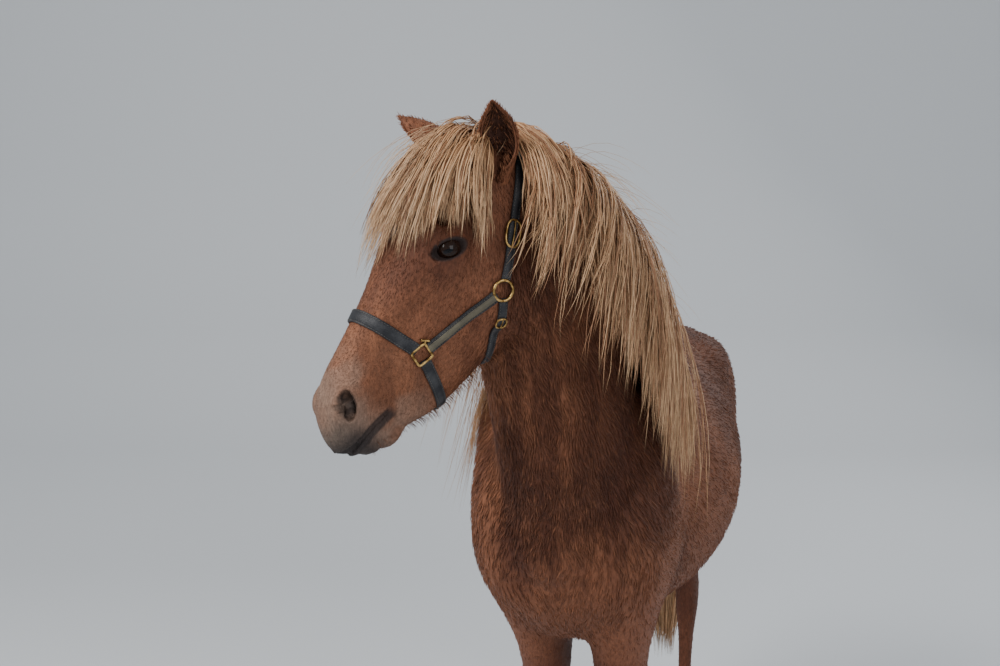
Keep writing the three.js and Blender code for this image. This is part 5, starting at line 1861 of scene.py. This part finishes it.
# Fur: short closed tufts that follow the lie of the coat
def lie_of(p, n):
    """The way the coat lies at points p with normals n."""
    along = np.clip(neck_axis.nearest(p), 0, 1)
    tangent = neck_axis.frame(along)[3]
    a, s, d = head_local(p).T
    on_face = smooth((neck_distance(p) - head_distance(p) + 30) / 70) * (a > -60) * (p[:, 2] > 1200)
    on_neck = smooth(along / 0.3) * (p[:, 2] > 1000)
    low = smooth((930 - p[:, 2]) / 200)
    chest = smooth((p[:, 0] - 560) / 160)
    body = X * (-0.85 + 0.75 * chest)[:, None] + Z * (-0.5 - 0.4 * chest)[:, None]
    lie = mix(body, -0.85 * tangent - 0.5 * Z, on_neck[:, None])
    lie = mix(lie, DOWN - 0.12 * X, low[:, None])
    face = ALONG * 0.9 - DORSAL * (0.6 * smooth((np.abs(s) - 40) / 40) * smooth((360 - a) / 200))[:, None]
    lie = mix(lie, face, on_face[:, None])
    lie = lie - n * dot(lie, n)[:, None]
    swirl = 0.7 * (cloud(p, 70, 71, 2) - 0.5) + 0.9 * (noise(p, 22, 77) - 0.5) * (1 - 0.6 * on_face)
    lie = unit(lie) + np.cross(n, unit(lie)) * swirl[:, None]
    return unit(lie), on_face, on_neck * (1 - on_face), low


def fur_length(p, n, on_face, on_neck, low):
    a, s, d = head_local(p).T
    length = 24 + 4 * on_neck
    length = length + 12 * smooth((900 - p[:, 2]) / 60) * (p[:, 2] > 760) * smooth((-n[:, 2] - 0.4) / 0.4)
    length = mix(length, 12 - 3.5 * smooth((430 - p[:, 2]) / 150), low)
    face = 8.5 - 3.5 * smooth((a - 250) / 150) - 2.0 * smooth((a - 450) / 50)
    jaw = smooth((-dot(n, np.ones((len(n), 1)) * DORSAL) - 0.35) / 0.4) * smooth((430 - a) / 60)
    face = face + 12 * jaw
    return mix(length, face, on_face)


def fur(name, count, mask, density, seed):
    rng = np.random.default_rng(seed)
    corners = skin_corners[mask]
    cross = np.cross(corners[:, 1] - corners[:, 0], corners[:, 2] - corners[:, 0])
    area = np.linalg.norm(cross, axis=1) / 2
    total = np.cumsum(area * density(corners.mean(1)))
    place = (np.arange(count) + rng.uniform(0, 1, count)) / count * total[-1]
    index = np.minimum(np.searchsorted(total, place), len(corners) - 1)
    b, c = rng.uniform(0, 1, (2, count))
    over = b + c > 1
    b, c = np.where(over, 1 - b, b), np.where(over, 1 - c, c)
    rows = corners[index]
    root = rows[:, 0] + (rows[:, 1] - rows[:, 0]) * b[:, None] + (rows[:, 2] - rows[:, 0]) * c[:, None]
    ends = skin_normals[mask][index]
    n = unit(ends[:, 0] * (1 - b - c)[:, None] + ends[:, 1] * b[:, None] + ends[:, 2] * c[:, None])
    local = head_local(root)
    keep = np.ones(count, bool)
    for side in (1, -1):
        keep &= range_from(EYE, local, side, 14, (1.25, 1, 0.85)) > 27
        keep &= range_from(NOSTRIL, local, side, 1) > 17
    root, n = root[keep], n[keep]
    lie, on_face, on_neck, low = lie_of(root, n)
    m = len(root)
    length = fur_length(root, n, on_face, on_neck, low) * rng.uniform(0.7, 1.3, m)
    width = np.clip(length * 0.115, 1.0, 2.5) * rng.uniform(0.75, 1.25, m)
    lift = np.sin(np.radians(rng.uniform(4, 12, m)))
    lie = unit(lie + np.cross(n, lie) * rng.normal(0, 0.13, m)[:, None])
    across = np.cross(lie, n)
    thick = width * 0.42
    low_end = root - n * 1.0
    middle = root + lie * (length * 0.5)[:, None] + n * (length * lift * 0.5)[:, None]
    tip = root + lie * length[:, None] + n * (length * lift * 0.75)[:, None]
    rings = []
    for at, share in ((low_end, 0.8), (middle, 1.0)):
        w, h = (width * share / 2)[:, None], (thick * share / 2)[:, None]
        rings += [at + across * w - n * h * 0.6, at + n * h, at - across * w - n * h * 0.6]
    co = np.stack(rings + [tip], axis=1)
    faces = [(0, 2, 1)]
    for k in range(3):
        j = (k + 1) % 3
        faces += [(k, j, j + 3), (k, j + 3, k + 3), (k + 3, j + 3, 6)]
    faces = (np.array(faces)[None] + 7 * np.arange(m)[:, None, None]).reshape(-1, 3)
    piece = make_mesh(name, world(co.reshape(-1, 3)), faces)
    tone = coat_colour(root) * rng.uniform(0.84, 1.16, m)[:, None]
    pale = (rng.uniform(0, 1, m) < 0.12)[:, None] * 0.3 * (1 - on_face)[:, None]
    tone = mix(tone, WARM * 1.15, pale)
    # Each tuft darker at its root and lighter at its tip: painted shade among the hairs and a painted
    # highlight on the tips
    tint = np.stack([tone * 0.86] * 3 + [tone] * 3 + [tone * 1.12], axis=1)
    paint(piece, tint.reshape(-1, 3))
    face_outward(piece)
    shape = [(0, 0.08), (0.5, 0), (1, 0.08), (0, 0.5), (0.5, 0.45), (1, 0.5), (0.5, 1)]
    bake_map(piece, patches(root, shape).reshape(-1, 2)[corner_vertices(piece)])
    dress(piece, coat_hair, "coat")


skin_normals = normals_of(skin)[corner_vertices(skin)].reshape(-1, 3, 3)
skin_middles = skin_corners.mean(1)
skin_charts = chart_of(skin_middles)
on_torso, on_left = skin_charts == 0, skin_middles[:, 1] > 0
on_legs = (skin_charts > 2) & (skin_middles[:, 2] > 70)
more_forward = lambda p: 1 + 0.5 * smooth((p[:, 0] - 200) / 300)
fur("fur_head", 17800, skin_charts == 2, lambda p: 1 + 0.9 * smooth((head_local(p)[:, 0] - 300) / 150), 81)
fur("fur_neck", 16500, skin_charts == 1, lambda p: np.ones(len(p)), 82)
fur("fur_left", 11800, on_torso & on_left, more_forward, 83)
fur("fur_right", 8800, on_torso & ~on_left, more_forward, 84)
fur("fur_legs", 11500, on_legs, lambda p: 1 + 1.2 * smooth((600 - p[:, 2]) / 300), 85)

make_camera()
make_stage()
make_light()
